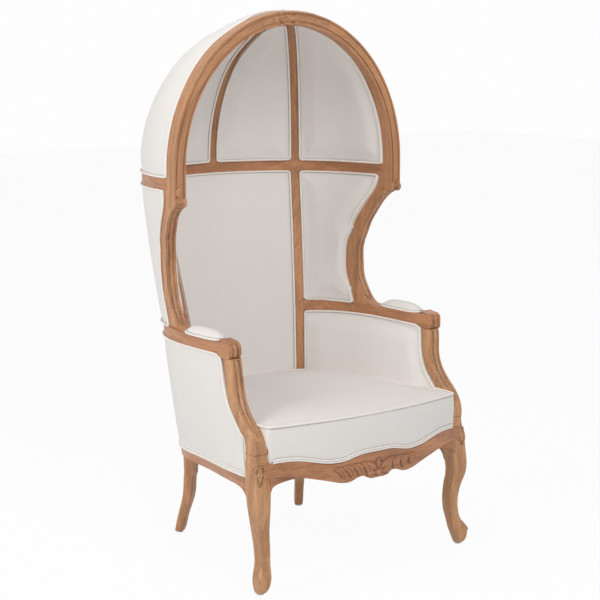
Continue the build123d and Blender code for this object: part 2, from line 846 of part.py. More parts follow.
# Hoop: two halves that meet at the crown, with a channel on each side of the face
def hoop_ring(outer_inset, inner_inset, foot):
    """Draws half of the arch in front view, between two insets from its outer edge."""
    outer, inner = hoop_half_width - outer_inset, hoop_half_width - inner_inset
    top, under = hoop_rise - outer_inset, hoop_rise - inner_inset
    Line((outer, foot), (outer, hoop_spring))
    EllipticalCenterArc((0, hoop_spring), outer, top, start_angle=0, arc_size=90)
    Line((0, hoop_spring + top), (0, hoop_spring + under))
    EllipticalCenterArc((0, hoop_spring), inner, under, start_angle=0, arc_size=90)
    Line((inner, hoop_spring), (inner, foot))
    Line((inner, foot), (outer, foot))


with BuildPart() as hoop:
    with BuildSketch(Plane.XZ.offset(middle - hoop_rear)):
        with BuildLine():
            hoop_ring(0, hoop_face, hoop_foot)
        make_face()
    extrude(amount=hoop_depth)
    for inset_by in (groove_edge, hoop_face - groove_edge - groove_width):
        with BuildSketch(Plane.XZ.offset(middle - hoop_line)):
            with BuildLine():
                hoop_ring(inset_by, inset_by + groove_width, hoop_foot + 2 * knuckle_radius)
            make_face()
        extrude(amount=-groove_depth, mode=Mode.SUBTRACT)
    knuckle_y = hoop_line - knuckle_proud + knuckle_radius - middle
    with BuildSketch(Plane.YZ.offset(hoop_half_width - hoop_face)):
        with Locations((knuckle_y, hoop_foot + knuckle_radius)):
            Circle(knuckle_radius)
    extrude(amount=hoop_face)
    with Locations(Plane(origin=(0, 0, hoop_top))):
        Box(glue_gap, 2 * hood_back, 2 * hoop_top, mode=Mode.SUBTRACT)
    bore([hoop_dowel, hoop_top_dowel, crown_dowel])
save_pair(hoop, "hoop")

# Springing rail, in three lengths round the hood
with BuildPart() as springing_rail_back:
    add(wall_band(back_outline, [hood_corner, (0, hood_back)], rail_under, rail_height, 0, wall, hood_turn,
                  gap=glue_gap / 2))
    bore(both(corner_dowel) + both(stile_dowel) + [centre_rib_dowel])
save(springing_rail_back, "springing_rail_back")

with BuildPart() as springing_rail:
    add(wall_band(side_outline, hood_side, rail_under, rail_height, 0, wall, hood_turn, gap=glue_gap / 2))
    add(side_view(behind_hoop(glue_gap)), mode=Mode.INTERSECT)
    bore([hoop_dowel, wing_head_dowel, corner_dowel, rib_dowel])
save_pair(springing_rail, "springing_rail")

# Crown block, glued behind the top of the hoop to take the ribs
with BuildPart() as crown_block:
    with BuildSketch(Plane.XY.offset(crown_z - crown_block_thick / 2)):
        with Locations(placed((0, pole))):
            Circle(crown_block_radius)
    extrude(amount=crown_block_thick)
    with BuildSketch(Plane.XY):
        with Locations(placed((0, hoop_rear + glue_gap - crown_block_radius))):
            Rectangle(2 * hood_back, 2 * crown_block_radius)
    extrude(amount=hoop_top, mode=Mode.SUBTRACT)
    bore(both(crown_dowel))
save(crown_block, "crown_block")


# Dome: ribs, pads and covers all lie on the same ellipses round the pole
def dome_edge(radius, top, tip, low):
    """Points up one meridian, from the rail to the tip, on a quarter ellipse."""
    end = acos(tip / radius)
    arc = [
        (radius * cos(end * s), hoop_spring + (top - hoop_spring) * sin(end * s))
        for s in dome_arc_shares
    ]
    return [(radius, low)] + arc


def meridian(turn, sideways=0):
    """The upright plane through the pole at a turn, moved sideways."""
    out, along = sin(radians(turn)), cos(radians(turn))
    plane = Plane(origin=(*placed((0, pole)), 0), x_dir=(out, along, 0), z_dir=(along, -out, 0))
    return plane.offset(sideways)


def dome_section(turn, outer, inner, top_inner, tip, low, crown=0, sideways=0):
    """A meridian section of the hood between two depths, as a face in the plane of a turn."""
    share = max(0, (abs(turn) - hood_turn) / (90 - hood_turn))
    radius = hood_radius_at(share)
    outside = dome_edge(radius - outer, hoop_top - outer, tip, low)
    inside = dome_edge(radius - inner - crown, hoop_top - top_inner - crown, tip, low)
    with BuildSketch(meridian(turn, sideways)) as section:
        with BuildLine():
            for edge in (outside, inside):
                Line(edge[0], edge[1])
                Spline(*edge[1:], tangents=((0, 1), (-1, tip * hoop_rise / radius**2)))
            Line(outside[-1], inside[-1])
            Line(outside[0], inside[0])
        make_face()
    return section.sketch


def dome_gore(turns, outer, inner, top_inner, tip, low, crown=0):
    """A gore of the hood between two turns, thicker in the middle if it is a pad."""
    with BuildPart() as gore:
        loft([
            dome_section(turn, outer, inner, top_inner, tip, low,
                         crown * fullness((turn - turns[0]) / (turns[-1] - turns[0]))).face()
            for turn in turns
        ])
    return gore.part


def dome_space(turn, grow):
    """The room that a rib takes in the hood, larger at its sides by grow."""
    width = rib_width + 2 * grow
    with BuildPart() as space:
        with BuildSketch(meridian(turn, -width / 2)):
            with Locations((hood_back / 2, hoop_top / 2)):
                Rectangle(hood_back, hoop_top + overrun)
        extrude(amount=width)
    return space.part


with BuildPart() as block_space:
    with BuildSketch(Plane.XY.offset(hoop_spring)):
        with Locations(placed((0, pole))):
            Circle(crown_block_radius + glue_gap)
    extrude(amount=hoop_top)

cover_turns = [between(-hood_turn, 90, s) for s in cover_shares]
with BuildPart() as cover_space:
    add(dome_gore(cover_turns, -overrun, cover + soft_gap, cover + soft_gap, cover_tip_radius, rail_under))

for turn, name in ((-hood_turn, "left"), (0, "centre"), (hood_turn, "right")):
    with BuildPart() as rib:
        rib_face = dome_section(turn, cover + 2 * edge_gap, wall, hood_top_wall, crown_block_radius / 2,
                                rail_top, sideways=-rib_width / 2).face()
        extrude(rib_face, amount=rib_width, dir=meridian(turn).z_dir)
        add(block_space.part, mode=Mode.SUBTRACT)
        bore([centre_rib_dowel] if turn == 0 else [both(rib_dowel)[0 if turn > 0 else 1]])
    save(rib, f"dome_rib_{name}")

with BuildPart() as dome_back_pad:
    add(dome_gore([hood_turn * s for s in gore_shares], cover, wall, hood_top_wall,
                  pad_tip_radius, rail_top + soft_gap, pad_crown))
    add(cover_space.part, mode=Mode.SUBTRACT)
    add(dome_space(0, soft_gap), mode=Mode.SUBTRACT)
    add(dome_space(hood_turn, soft_gap), mode=Mode.SUBTRACT)
save_pair(dome_back_pad, "dome_back_pad")

with BuildPart() as dome_side_pad:
    add(dome_gore([between(hood_turn, 90, s) for s in gore_shares], cover, wall, hood_top_wall,
                  pad_tip_radius, rail_top + soft_gap, pad_crown))
    add(cover_space.part, mode=Mode.SUBTRACT)
    add(dome_space(hood_turn, soft_gap), mode=Mode.SUBTRACT)
    add(side_view(behind_hoop(soft_gap)), mode=Mode.INTERSECT)
save_pair(dome_side_pad, "dome_side_pad")

with BuildPart() as outer_dome_cover:
    add(dome_gore(cover_turns, 0, cover, cover, cover_tip_radius, rail_top + soft_gap))
    add(side_view(behind_hoop(soft_gap)), mode=Mode.INTERSECT)
    with Locations(Plane(origin=(0, 0, hoop_top))):
        Box(seam_gap, 2 * hood_back, 2 * hoop_top, mode=Mode.SUBTRACT)
save_pair(outer_dome_cover, "outer_dome_cover")

# Wall pads inside the frame, and the stretched covers outside it
with BuildPart() as arm_space:
    add(side_view(lambda: hand_side(soft_gap)))
with BuildPart() as inner_back_pad:
    add(wall_sheet(back_outline, corner_levels, pad_low, pad_high, cover + soft_gap, wall, crown=pad_crown))
    add(stile_slot.part, mode=Mode.SUBTRACT)
    mirror(stile_slot.part, about=Plane.YZ, mode=Mode.SUBTRACT)
save(inner_back_pad, "inner_back_pad")

with BuildPart() as inner_wing_pad:
    add(wall_sheet(side_outline, wing_levels, arm_top + soft_gap, pad_high, cover + soft_gap, wall,
                   crown=pad_crown))
    add(side_view(behind_wing_post), mode=Mode.INTERSECT)
    add(stile_slot.part, mode=Mode.SUBTRACT)
save_pair(inner_wing_pad, "inner_wing_pad")

with BuildPart() as inner_arm_pad:
    add(wall_sheet(side_outline, arm_levels, pad_low, arm_under - soft_gap, cover + soft_gap, wall,
                   crown=pad_crown))
    add(side_view(behind_arm_post), mode=Mode.INTERSECT)
    for space in (stile_slot, arm_space, arm_post_space, leg_soft_space):
        add(space.part, mode=Mode.SUBTRACT)
save_pair(inner_arm_pad, "inner_arm_pad")

with BuildPart() as outer_back_cover:
    add(wall_sheet(back_outline, corner_levels, rail_face_rear + soft_gap, pad_high, 0, cover,
                   gap=seam_gap / 2))
save(outer_back_cover, "outer_back_cover")

with BuildPart() as outer_wing_cover:
    add(wall_sheet(side_outline, wing_levels, arm_top + soft_gap, pad_high, 0, cover, gap=seam_gap / 2))
    add(side_view(behind_wing_post), mode=Mode.INTERSECT)
save_pair(outer_wing_cover, "outer_wing_cover")

with BuildPart() as outer_arm_cover:
    add(wall_sheet(side_outline, arm_levels, rail_start, arm_under - soft_gap, 0, cover, gap=seam_gap / 2))
    add(side_view(behind_arm_post), mode=Mode.INTERSECT)
    add(side_view(lambda: above_line(*rail_line(rail_face_front, rail_face_rear, soft_gap), arm_top)),
        mode=Mode.INTERSECT)
    for space in (arm_space, arm_post_space, leg_soft_space):
        add(space.part, mode=Mode.SUBTRACT)
save_pair(outer_arm_cover, "outer_arm_cover")


# Seat: foam and its cover, on webbing over the rails, with a dust cover below
def seat_plan(z, inside, front):
    """Draws the seat in plan at a height, a depth inside the pads and behind the front line."""
    points = outline_at(z, arm_levels)
    turn = turn_at(z)
    side = inset(points, wall + seat_gap + inside, turn, crown=pad_crown)
    (_, back), = outline_at(z, corner_levels)[1:]
    rear_x, rear_y = side[-1]
    shrink = (pad_crown + inside) * sin(radians(turn))
    side[-1] = (rear_x - shrink, rear_y - pad_crown)
    front_y = -front_rail_end + front + inside
    corner = placed((side[0][0], front_y))
    Spline(*side)
    back_y = back - wall - pad_crown - seat_gap - inside
    ThreePointArc(side[-1], placed((0, back_y)), (-side[-1][0], side[-1][1]))
    Spline(*[(-x, y) for x, y in side[::-1]])
    Line((-side[0][0], side[0][1]), (-corner[0], corner[1]))
    ThreePointArc((-corner[0], corner[1]), placed((0, seat_front_line + front + inside)), corner)
    Line(corner, side[0])


def seat_form(inside, low):
    """The seat's crowned block, smaller than its outside by a depth."""
    with BuildPart() as block:
        for up, swell in seat_height_shares:
            z = between(deck, seat_edge_height + seat_crown, up)
            with BuildSketch(Plane.XY.offset(z)):
                with BuildLine():
                    seat_plan(z, inside, swell * seat_swell)
                make_face()
        loft(ruled=True)
        low_cut = low - deck
        with BuildSketch(Plane.XY.offset(deck)):
            Rectangle(2 * side_reach, 2 * hood_back)
        if low_cut > 0:
            extrude(amount=low_cut, mode=Mode.SUBTRACT)
    with BuildPart() as top:
        for along, edge, mid in seat_top_shares:
            y = between(-front_reach - overrun, hood_back, along) - middle
            half = side_reach
            edge_z = seat_edge_height + edge * seat_crown - inside
            mid_z = seat_edge_height + mid * seat_crown - inside
            with BuildSketch(Plane.XZ.offset(-y)):
                with BuildLine():
                    ThreePointArc((-half, edge_z), (0, mid_z), (half, edge_z))
                    Polyline((half, edge_z), (half, 0), (-half, 0), (-half, edge_z))
                make_face()
        loft()
        add(block.part, mode=Mode.INTERSECT)
    return top.part


with BuildPart() as front_rail_space:
    with BuildSketch(Plane.XY):
        with BuildLine():
            front_plan(-overrun, front_rail_thick + soft_gap)
        make_face()
    extrude(amount=leg_joint)
    with BuildSketch(Plane.XZ.offset(middle + hood_back)):
        with BuildLine():
            half = [(leg_top[0] * a, front_rail_low + front_rail_height * h + soft_gap)
                    for a, h in front_rail_top_shares]
            Spline(*[(-x, z) for x, z in half[:0:-1]], *half)
            Polyline(half[-1], (half[-1][0], 0), (-half[-1][0], 0), (-half[-1][0], half[-1][1]))
        make_face()
    extrude(amount=-2 * (middle + hood_back), mode=Mode.INTERSECT)
    add(front_rebate(soft_gap), mode=Mode.SUBTRACT)


def clear_of_frame(grow_leg, grow_post):
    """Cuts the seat piece being made clear of the front rail, the legs and the arm posts."""
    add(front_rail_space.part, mode=Mode.SUBTRACT)
    for space in (grow_leg, grow_post):
        add(space.part, mode=Mode.SUBTRACT)
        mirror(space.part, about=Plane.YZ, mode=Mode.SUBTRACT)


with BuildPart() as seat_cover:
    add(seat_form(0, webbing_top + soft_gap))
    add(seat_form(cover, deck), mode=Mode.SUBTRACT)
    clear_of_frame(leg_soft_space, arm_post_space)
save(seat_cover, "seat_cover")

with BuildPart() as seat_foam:
    add(seat_form(cover + soft_gap, webbing_top + soft_gap))
    clear_of_frame(leg_soft_space, arm_post_space)
save(seat_foam, "seat_foam")


def frame_plan(depth):
    """Draws the seat frame's plan from the middle of the front rail, a depth inside the wall."""
    side = inset(seat_side, depth, seat_turn)
    front = front_rail_thick * webbing_front_share
    front_y = placed((0, front - front_rail_end))[1]
    Spline(*side)
    ThreePointArc(side[-1], placed((0, seat_back - depth)), (-side[-1][0], side[-1][1]))
    Spline(*[(-x, y) for x, y in side[::-1]])
    Line((-side[0][0], side[0][1]), (-side[0][0], front_y))
    ThreePointArc((-side[0][0], front_y), placed((0, front - front_reach)), (side[0][0], front_y))
    Line((side[0][0], front_y), side[0])


with BuildPart() as webbing_plan:
    with BuildSketch(Plane.XY.offset(deck)):
        with BuildLine():
            frame_plan(rail_thick / 2)
        make_face()
    extrude(amount=2 * webbing_thick)

with BuildPart() as seat_webbing:
    with Locations((0, 0, deck + webbing_thick / 2)):
        with GridLocations(webbing_pitch, 0, webbing_across, 1):
            Box(webbing_width, 2 * hood_back, webbing_thick)
    with Locations((0, placed((0, seat_back / 2))[1], deck + webbing_thick + webbing_thick / 2)):
        with GridLocations(0, webbing_pitch, 1, webbing_along):
            Box(2 * side_reach, webbing_width, webbing_thick)
    add(webbing_plan.part, mode=Mode.INTERSECT)
    add(rear_post_space.part, mode=Mode.SUBTRACT)
    mirror(rear_post_space.part, about=Plane.YZ, mode=Mode.SUBTRACT)
save(seat_webbing, "seat_webbing")
# Corner blocks, dust cover, arm pads and fixings
with BuildPart() as rear_block_space:
    add(wall_sheet(side_outline, arm_levels, rail_start, deck + overrun, -overrun, rail_thick + glue_gap))
    add(wall_sheet(back_outline, corner_levels, rail_start, deck + overrun, -overrun, rail_thick + glue_gap))
with BuildPart() as rear_leg_space:
    add(member([
        (*knee_centre, rail_start, rear_leg_width + 2 * glue_gap, wall + 2 * glue_gap, seat_turn),
        (*head_centre, deck + overrun, rear_leg_width + 2 * glue_gap, wall + 2 * glue_gap, seat_turn),
    ], ruled=True))
with BuildPart() as front_rail_glue_space:
    with BuildSketch(Plane.XY):
        with BuildLine():
            front_plan(-overrun, front_rail_thick + glue_gap)
        make_face()
    extrude(amount=leg_joint)

with BuildPart() as corner_block:
    with BuildSketch(Plane.XY.offset(block_low)):
        for points in (front_block, rear_block):
            with BuildLine():
                Polyline(*points, close=True)
            make_face()
    extrude(amount=block_height)
    add(rear_block_space.part, mode=Mode.SUBTRACT)
    add(rear_leg_space.part, mode=Mode.SUBTRACT)
    add(front_rail_glue_space.part, mode=Mode.SUBTRACT)
    add(front_leg_space.part, mode=Mode.SUBTRACT)
    sink([front_screw, rear_screw])
with BuildPart() as corner_blocks:
    add(corner_block.part)
    mirror(corner_block.part, about=Plane.YZ)
save(corner_blocks, "corner_blocks")

with BuildPart() as dust_cover:
    with BuildSketch(Plane.XY.offset(block_low - dust_cover_thick)):
        with BuildLine():
            frame_plan(rail_thick + soft_gap)
        make_face()
    extrude(amount=dust_cover_thick)
    add(front_rail_glue_space.part, mode=Mode.SUBTRACT)
    for space in (leg_soft_space, rear_leg_space, rear_block_space):
        add(space.part, mode=Mode.SUBTRACT)
        mirror(space.part, about=Plane.YZ, mode=Mode.SUBTRACT)
save(dust_cover, "dust_cover")

# Arm pads, domed along the tops of the arms
arm_mid = inset(arm_side, wall / 2, arm_turn)
with BuildLine():
    mid_line = Spline(*arm_mid)
with BuildPart() as arm_pad:
    for along, width, height in arm_pad_shares:
        u = (arm_pad_front + arm_pad_length * along - arm_front[1]) / mid_line.length
        centre, heading = mid_line @ u, mid_line % u
        plane = Plane(origin=(centre.X, centre.Y, arm_top + soft_gap), x_dir=(-heading.Y, heading.X, 0),
                      z_dir=(heading.X, heading.Y, 0))
        half = arm_pad_width * width / 2
        top = arm_pad_height * height
        with BuildSketch(plane):
            with BuildLine():
                Polyline((-half, top * pad_side_share), (-half, 0), (half, 0), (half, top * pad_side_share))
                ThreePointArc((half, top * pad_side_share), (0, top), (-half, top * pad_side_share))
            make_face()
    loft()
save_pair(arm_pad, "arm_pad")

# Dowels and screws
right_dowels = [
    front_rail_dowel, side_rail_dowel, rail_post_dowel, back_post_dowel, knee_dowel, hand_dowel,
    wing_foot_dowel, wing_head_dowel, hoop_dowel, corner_dowel, stile_dowel, rib_dowel, arm_dowel,
    crown_dowel,
]
with BuildPart() as dowels:
    with Locations(*[Plane(origin=c, z_dir=d) for c, d in right_dowels + [centre_rib_dowel, hoop_top_dowel]]):
        Cylinder(dowel_radius, dowel_length)
    with Locations(*[Plane(origin=c, z_dir=d) for dowel in right_dowels for c, d in both(dowel)[1:]]):
        Cylinder(dowel_radius, dowel_length)
save(dowels, "dowels")

with BuildPart() as corner_block_screws:
    for head, way in both(front_screw) + both(rear_screw):
        add(Plane(origin=head, z_dir=way) * screw_form(0, screw_rim))
save(corner_block_screws, "corner_block_screws")

# Glides under the feet
with BuildPart() as glides:
    for stations in (front_leg_stations(), rear_leg_stations()):
        x, y = placed(stations[0][:2])
        for side in (-1, 1):
            with Locations((side * x, y, foot_lift / 2)):
                Cylinder(glide_radius, foot_lift)
            with Locations((side * x, y, foot_lift + glide_pin_length / 2)):
                Cylinder(glide_pin_radius, glide_pin_length)
save(glides, "glides")
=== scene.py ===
from math import cos, pi, radians, sin

import bmesh
import bpy
import numpy as np
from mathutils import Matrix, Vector
from mathutils.bvhtree import BVHTree
from mathutils.kdtree import KDTree


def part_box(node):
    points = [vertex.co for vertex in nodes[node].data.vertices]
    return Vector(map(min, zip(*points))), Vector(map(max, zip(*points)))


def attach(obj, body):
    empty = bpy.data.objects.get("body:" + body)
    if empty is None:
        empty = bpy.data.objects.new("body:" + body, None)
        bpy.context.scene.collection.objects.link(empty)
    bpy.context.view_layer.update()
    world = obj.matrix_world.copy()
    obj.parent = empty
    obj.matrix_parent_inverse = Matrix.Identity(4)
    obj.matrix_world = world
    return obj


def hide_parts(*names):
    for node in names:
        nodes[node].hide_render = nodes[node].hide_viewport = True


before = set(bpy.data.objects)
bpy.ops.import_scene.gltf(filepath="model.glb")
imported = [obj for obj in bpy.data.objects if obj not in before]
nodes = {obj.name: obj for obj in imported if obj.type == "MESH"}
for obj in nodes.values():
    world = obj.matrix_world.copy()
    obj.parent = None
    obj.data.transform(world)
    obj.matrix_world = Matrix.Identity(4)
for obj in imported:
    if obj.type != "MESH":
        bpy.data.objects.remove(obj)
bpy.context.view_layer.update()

bl_info = {
    "name": "Hall porter chair",
    "version": (1, 0, 0),
    "blender": (4, 5, 0),
    "location": "View3D > Sidebar > Chair",
    "description": "Upholstery, carving and finishes for a hooded show-wood armchair",
    "category": "Object",
}

body = "root"

# Corners and heights of the CAD nodes that the other work is placed by, in metres
rail_low, rail_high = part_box("front_rail")
side_low, side_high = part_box("side_rail_right")
leg_low, leg_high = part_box("front_leg_right")
post_low, post_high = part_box("arm_post_right")
wing_low, wing_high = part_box("wing_post_right")
hoop_low, hoop_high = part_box("hoop_right")
floor_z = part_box("glides")[0].z
spring_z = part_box("springing_rail_back")[1].z
seat_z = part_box("seat_cover")[1].z
pole_y = sum(corner.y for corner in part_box("hoop_left")) / 2

# The middle of the dome, and the upright line that the wall's inner faces look at
hood_centre = Vector((0, pole_y, spring_z))
room_centre = Vector((0, -0.08, 0))

# The camera that was fitted to the photograph: its place, what it looks at, and its lens and
# sensor in millimetres
camera_place = (-2.84566, -3.73741, 1.50592)
camera_target = (-0.22578, -0.354, 0.78852)
camera_lens, camera_sensor = 97.7, 36

# Each lamp's name, place, width and power in watts, and the place that they all light
lamps = (
    ("key", (-4.0, 0.3, 2.3), 2.4, 71),
    ("fill", (-0.8, -3.5, 3.8), 2.4, 86),
    ("top", (0.2, 0.6, 4.0), 2.0, 20),
)
lamp_target = (0, 0, 0.75)

# Half the width of the floor, its glow, and the strength of the studio's light on the chair
# and in sight
floor_half = 14
floor_glow = 0.94
sky_lit, sky_seen = 0.36, 0.985

# The ways that rays run when a piece is met from in front or from the right
from_front = Vector((0, 1, 0))
from_right = Vector((-1, 0, 0))

# What the light oak's colour is multiplied by on each part of the frame
post_tone = (0.98, 0.94, 0.90)
wing_tone = (0.93, 0.84, 0.80)
hoop_tone = (0.90, 0.82, 0.80)
arm_tone = (0.86, 0.72, 0.68)
rail_tone = (0.84, 0.69, 0.65)

# The oak's finishes: the way of the grain, the tone, and whether the carving's hollows are
# darkened, partly by wax and partly as painted shade
oak_finishes = {
    "oak_upright": ("upright", wing_tone, False),
    "oak_across": ("across", rail_tone, False),
    "oak_back": ("back", arm_tone, False),
    "oak_arched": ("arched", hoop_tone, False),
    "oak_carved": ("across", rail_tone, True),
    "oak_carved_upright": ("upright", post_tone, True),
    "oak_carved_wing": ("upright", wing_tone, True),
    "oak_carved_hoop": ("across", hoop_tone, True),
    "oak_carved_hand": ("upright", arm_tone, True),
}

# Patches in a metre of each pattern in the oak: twice across its grain, then along it
drift_scales = (7, 7, 2.2)
ring_scales = (42, 42, 3)
streak_scales = (260, 260, 9)
pore_scales = (800, 800, 30)
blotch_scales = (8, 8, 4)

# Lengths that an angle of 1 makes along the hoop and round the dome
arch_radius = 0.42
dome_radius = 0.4

# Where the seat's boxing turns round its front corners, beside the arm posts
corner_x, corner_y = 0.285, -0.315

# Half the height of a glue line's shading
glue_line = 0.0012

# Threads in a metre of the linen, and its longer slubs
thread_scale = 1500
slub_scale = 190

# Points of a copied mesh nearer than this are one point
weld = 0.00002

# Distances between a carving's points on broad and on fine work
broad_step = 0.0012
fine_step = 0.0009

# How far the carving's edges are sunk in the wood
carving_sink = 0.0005

# How far from its starting points a carving may meet the wood
carving_reach = 0.14

# Steps up or down a rail when its edge is looked for, and how far off its face may lie
walk = 0.001
rail_reach = 0.16

# How far in front of a post's middle, and then of its face, its moulding is measured from
stand_off = 0.3
near_off = 0.05

# How much of a front leg is worked as its toe
toe_height = 0.095

# A toe's width as a share of the plain leg's, at shares of its height from the sole
toe_levels = (0, 0.15, 0.3, 0.45, 0.6, 0.75, 0.9, 1)
toe_widths = (0.74, 0.84, 0.95, 1.05, 1.05, 1, 0.98, 1)


def length(name, description, default, least=0.0):
    """A length that a user may change."""
    return bpy.props.FloatProperty(
        name=name, description=description, default=default, min=least, unit="LENGTH")


def colour(name, description, default):
    """A colour that a user may change."""
    return bpy.props.FloatVectorProperty(
        name=name, description=description, default=default, size=3, min=0, max=1,
        subtype="COLOR")


class ChairSizes(bpy.types.PropertyGroup):
    """Sizes of the sewn and carved work."""

    piping_radius: length(
        "Piping radius", "Half the thickness of the piping round each panel", 0.003, 0.001)
    remesh: length("Pad mesh", "Size of the faces that a pad is swollen with", 0.006, 0.003)
    swell: length("Swell", "How far the stuffing may push a pad's face out", 0.011)
    pressure: bpy.props.FloatProperty(
        name="Pressure", description="Pressure of the stuffing in the cloth simulation",
        default=4.0, min=0.0)
    crown: length("Crown", "How far the stuffing may push the seat's top up", 0.018)
    seat_drop: length("Seat drop", "How far the seat's edges lie under its crown", 0.016)
    arm_swell: length("Arm pad swell", "How far an arm pad's top may be pushed up", 0.004)
    cover_swell: length("Cover swell", "How far the outer covers stand out", 0.003)
    sag: length("Sag", "How far the dust cover hangs down", 0.002)
    carving_depth: length(
        "Carving depth", "Height of the carved leaves above the wood", 0.008)
    moulding_depth: length("Moulding depth", "Height of the beads up the posts", 0.003)


class ChairColours(bpy.types.PropertyGroup):
    """Colours of the wood and the cloths."""

    oak_light: colour(
        "Light oak", "Colour of the wood between its pores", (0.68, 0.37, 0.18))
    # The dark oak also paints the shade in the carving's hollows, together with the wax there
    oak_dark: colour(
        "Dark oak", "Colour of the late wood and of the wax in the carving", (0.17, 0.06, 0.02))
    linen: colour("Linen", "Colour of the cloth", (0.872, 0.836, 0.806))
    # The piping's colour is cream, painted lighter than the linen as a highlight where the cords
    # catch the light
    piping: colour("Piping", "Colour of the piping", (0.94, 0.905, 0.85))
    # Painted shadow: the dark cords beside the piping and between the welts stand for the shade
    # in the seams' creases
    thread: colour("Thread", "Colour of the lines beside the piping", (0.50, 0.46, 0.42))
    lining: colour("Lining", "Colour of the dust cover", (0.58, 0.55, 0.50))
    webbing: colour("Webbing", "Colour of the webbing under the seat", (0.5, 0.38, 0.24))


def worked(operation, turned_round=False):
    """A method that puts a strand and the values it is given into a Math node."""
    def method(self, *others):
        values = (self, *others)[::-1 if turned_round else 1]
        return self.owner.node(
            "ShaderNodeMath", {"operation": operation}, dict(enumerate(values)))
    return method


class Strand:
    """A shader socket that can stand in a sum."""

    def __init__(self, owner, socket):
        self.owner = owner
        self.socket = socket

    __add__ = __radd__ = worked("ADD")
    __sub__, __rsub__ = worked("SUBTRACT"), worked("SUBTRACT", turned_round=True)
    __mul__ = __rmul__ = worked("MULTIPLY")
    __truediv__, __pow__ = worked("DIVIDE"), worked("POWER")
    at_least, at_most = worked("MAXIMUM"), worked("MINIMUM")
    turned, size = worked("ARCTAN2"), worked("ABSOLUTE")


class Nodes:
    """A node tree under construction, with one way to add a node."""

    def __init__(self, tree):
        self.tree = tree
        tree.nodes.clear()

    def join(self, socket, value):
        """Links a strand to a socket, or sets the socket to a value."""
        if isinstance(value, Strand):
            self.tree.links.new(value.socket, socket)
        else:
            socket.default_value = value

    def node(self, kind, settings=None, inputs=None, output=0):
        """Adds a node: its settings first, then the values or links of its sockets."""
        new = self.tree.nodes.new(kind)
        for key, value in (settings or {}).items():
            setattr(new, key, value)
        for key, value in (inputs or {}).items():
            self.join(new.inputs[key], value)
        return Strand(self, new.outputs[output]) if new.outputs else new

    def in_sight(self):
        """1 on rays that the camera sees straight, mirrored or through glass, otherwise 0."""
        straight, mirrored_ray, through = [
            self.node("ShaderNodeLightPath", output=f"Is {kind} Ray")
            for kind in ("Camera", "Glossy", "Transmission")
        ]
        return straight.at_least(mirrored_ray).at_least(through)


class Finish(Nodes):
    """A material under construction."""

    def __init__(self, name):
        self.material = bpy.data.materials.new(name)
        self.material.use_nodes = True
        super().__init__(self.material.node_tree)
        self.shader = self.tree.nodes.new("ShaderNodeBsdfPrincipled")
        self.surface = Strand(self, self.shader.outputs[0])
        self.out = self.node("ShaderNodeOutputMaterial", inputs={0: self.surface})

    def set(self, **inputs):
        """Sets or links the shader's own sockets, whose spaces are written as underscores."""
        for key, value in inputs.items():
            self.join(self.shader.inputs[key.replace("_", " ")], value)

    def place(self):
        """The object coordinates as three strands."""
        point = self.node("ShaderNodeTexCoord", output=3)
        return [self.node("ShaderNodeSeparateXYZ", inputs={0: point}, output=axis)
                for axis in range(3)]

    def noise(self, place, scales, detail=2.0, rough=0.5):
        """Noise with so many patches in a metre along each part of a place."""
        scaled = {axis: part * scale for axis, (part, scale) in enumerate(zip(place, scales))}
        point = self.node("ShaderNodeCombineXYZ", inputs=scaled)
        return self.node("ShaderNodeTexNoise", inputs={
            "Vector": point, "Scale": 1.0, "Detail": detail, "Roughness": rough})

    def mix(self, share, first, second):
        """A colour between two colours, which are given without alpha."""
        return self.node("ShaderNodeMix", {"data_type": "RGBA"},
                         {0: share, 6: (*first, 1), 7: (*second, 1)}, 2)

    def ramp(self, share, low, high):
        """A share stretched so that it runs from 0 at low to 1 at high."""
        return ((share - low) / (high - low)).at_least(0).at_most(1)

    def bump(self, height, strength, distance):
        """Bumps as high as distance where the height is 1."""
        self.set(Normal=self.node("ShaderNodeBump", inputs={
            "Strength": strength, "Distance": distance, "Height": height}))


def shaded(colour, share):
    """A colour made darker or lighter by a share."""
    return tuple(min(1, channel * share) for channel in colour)


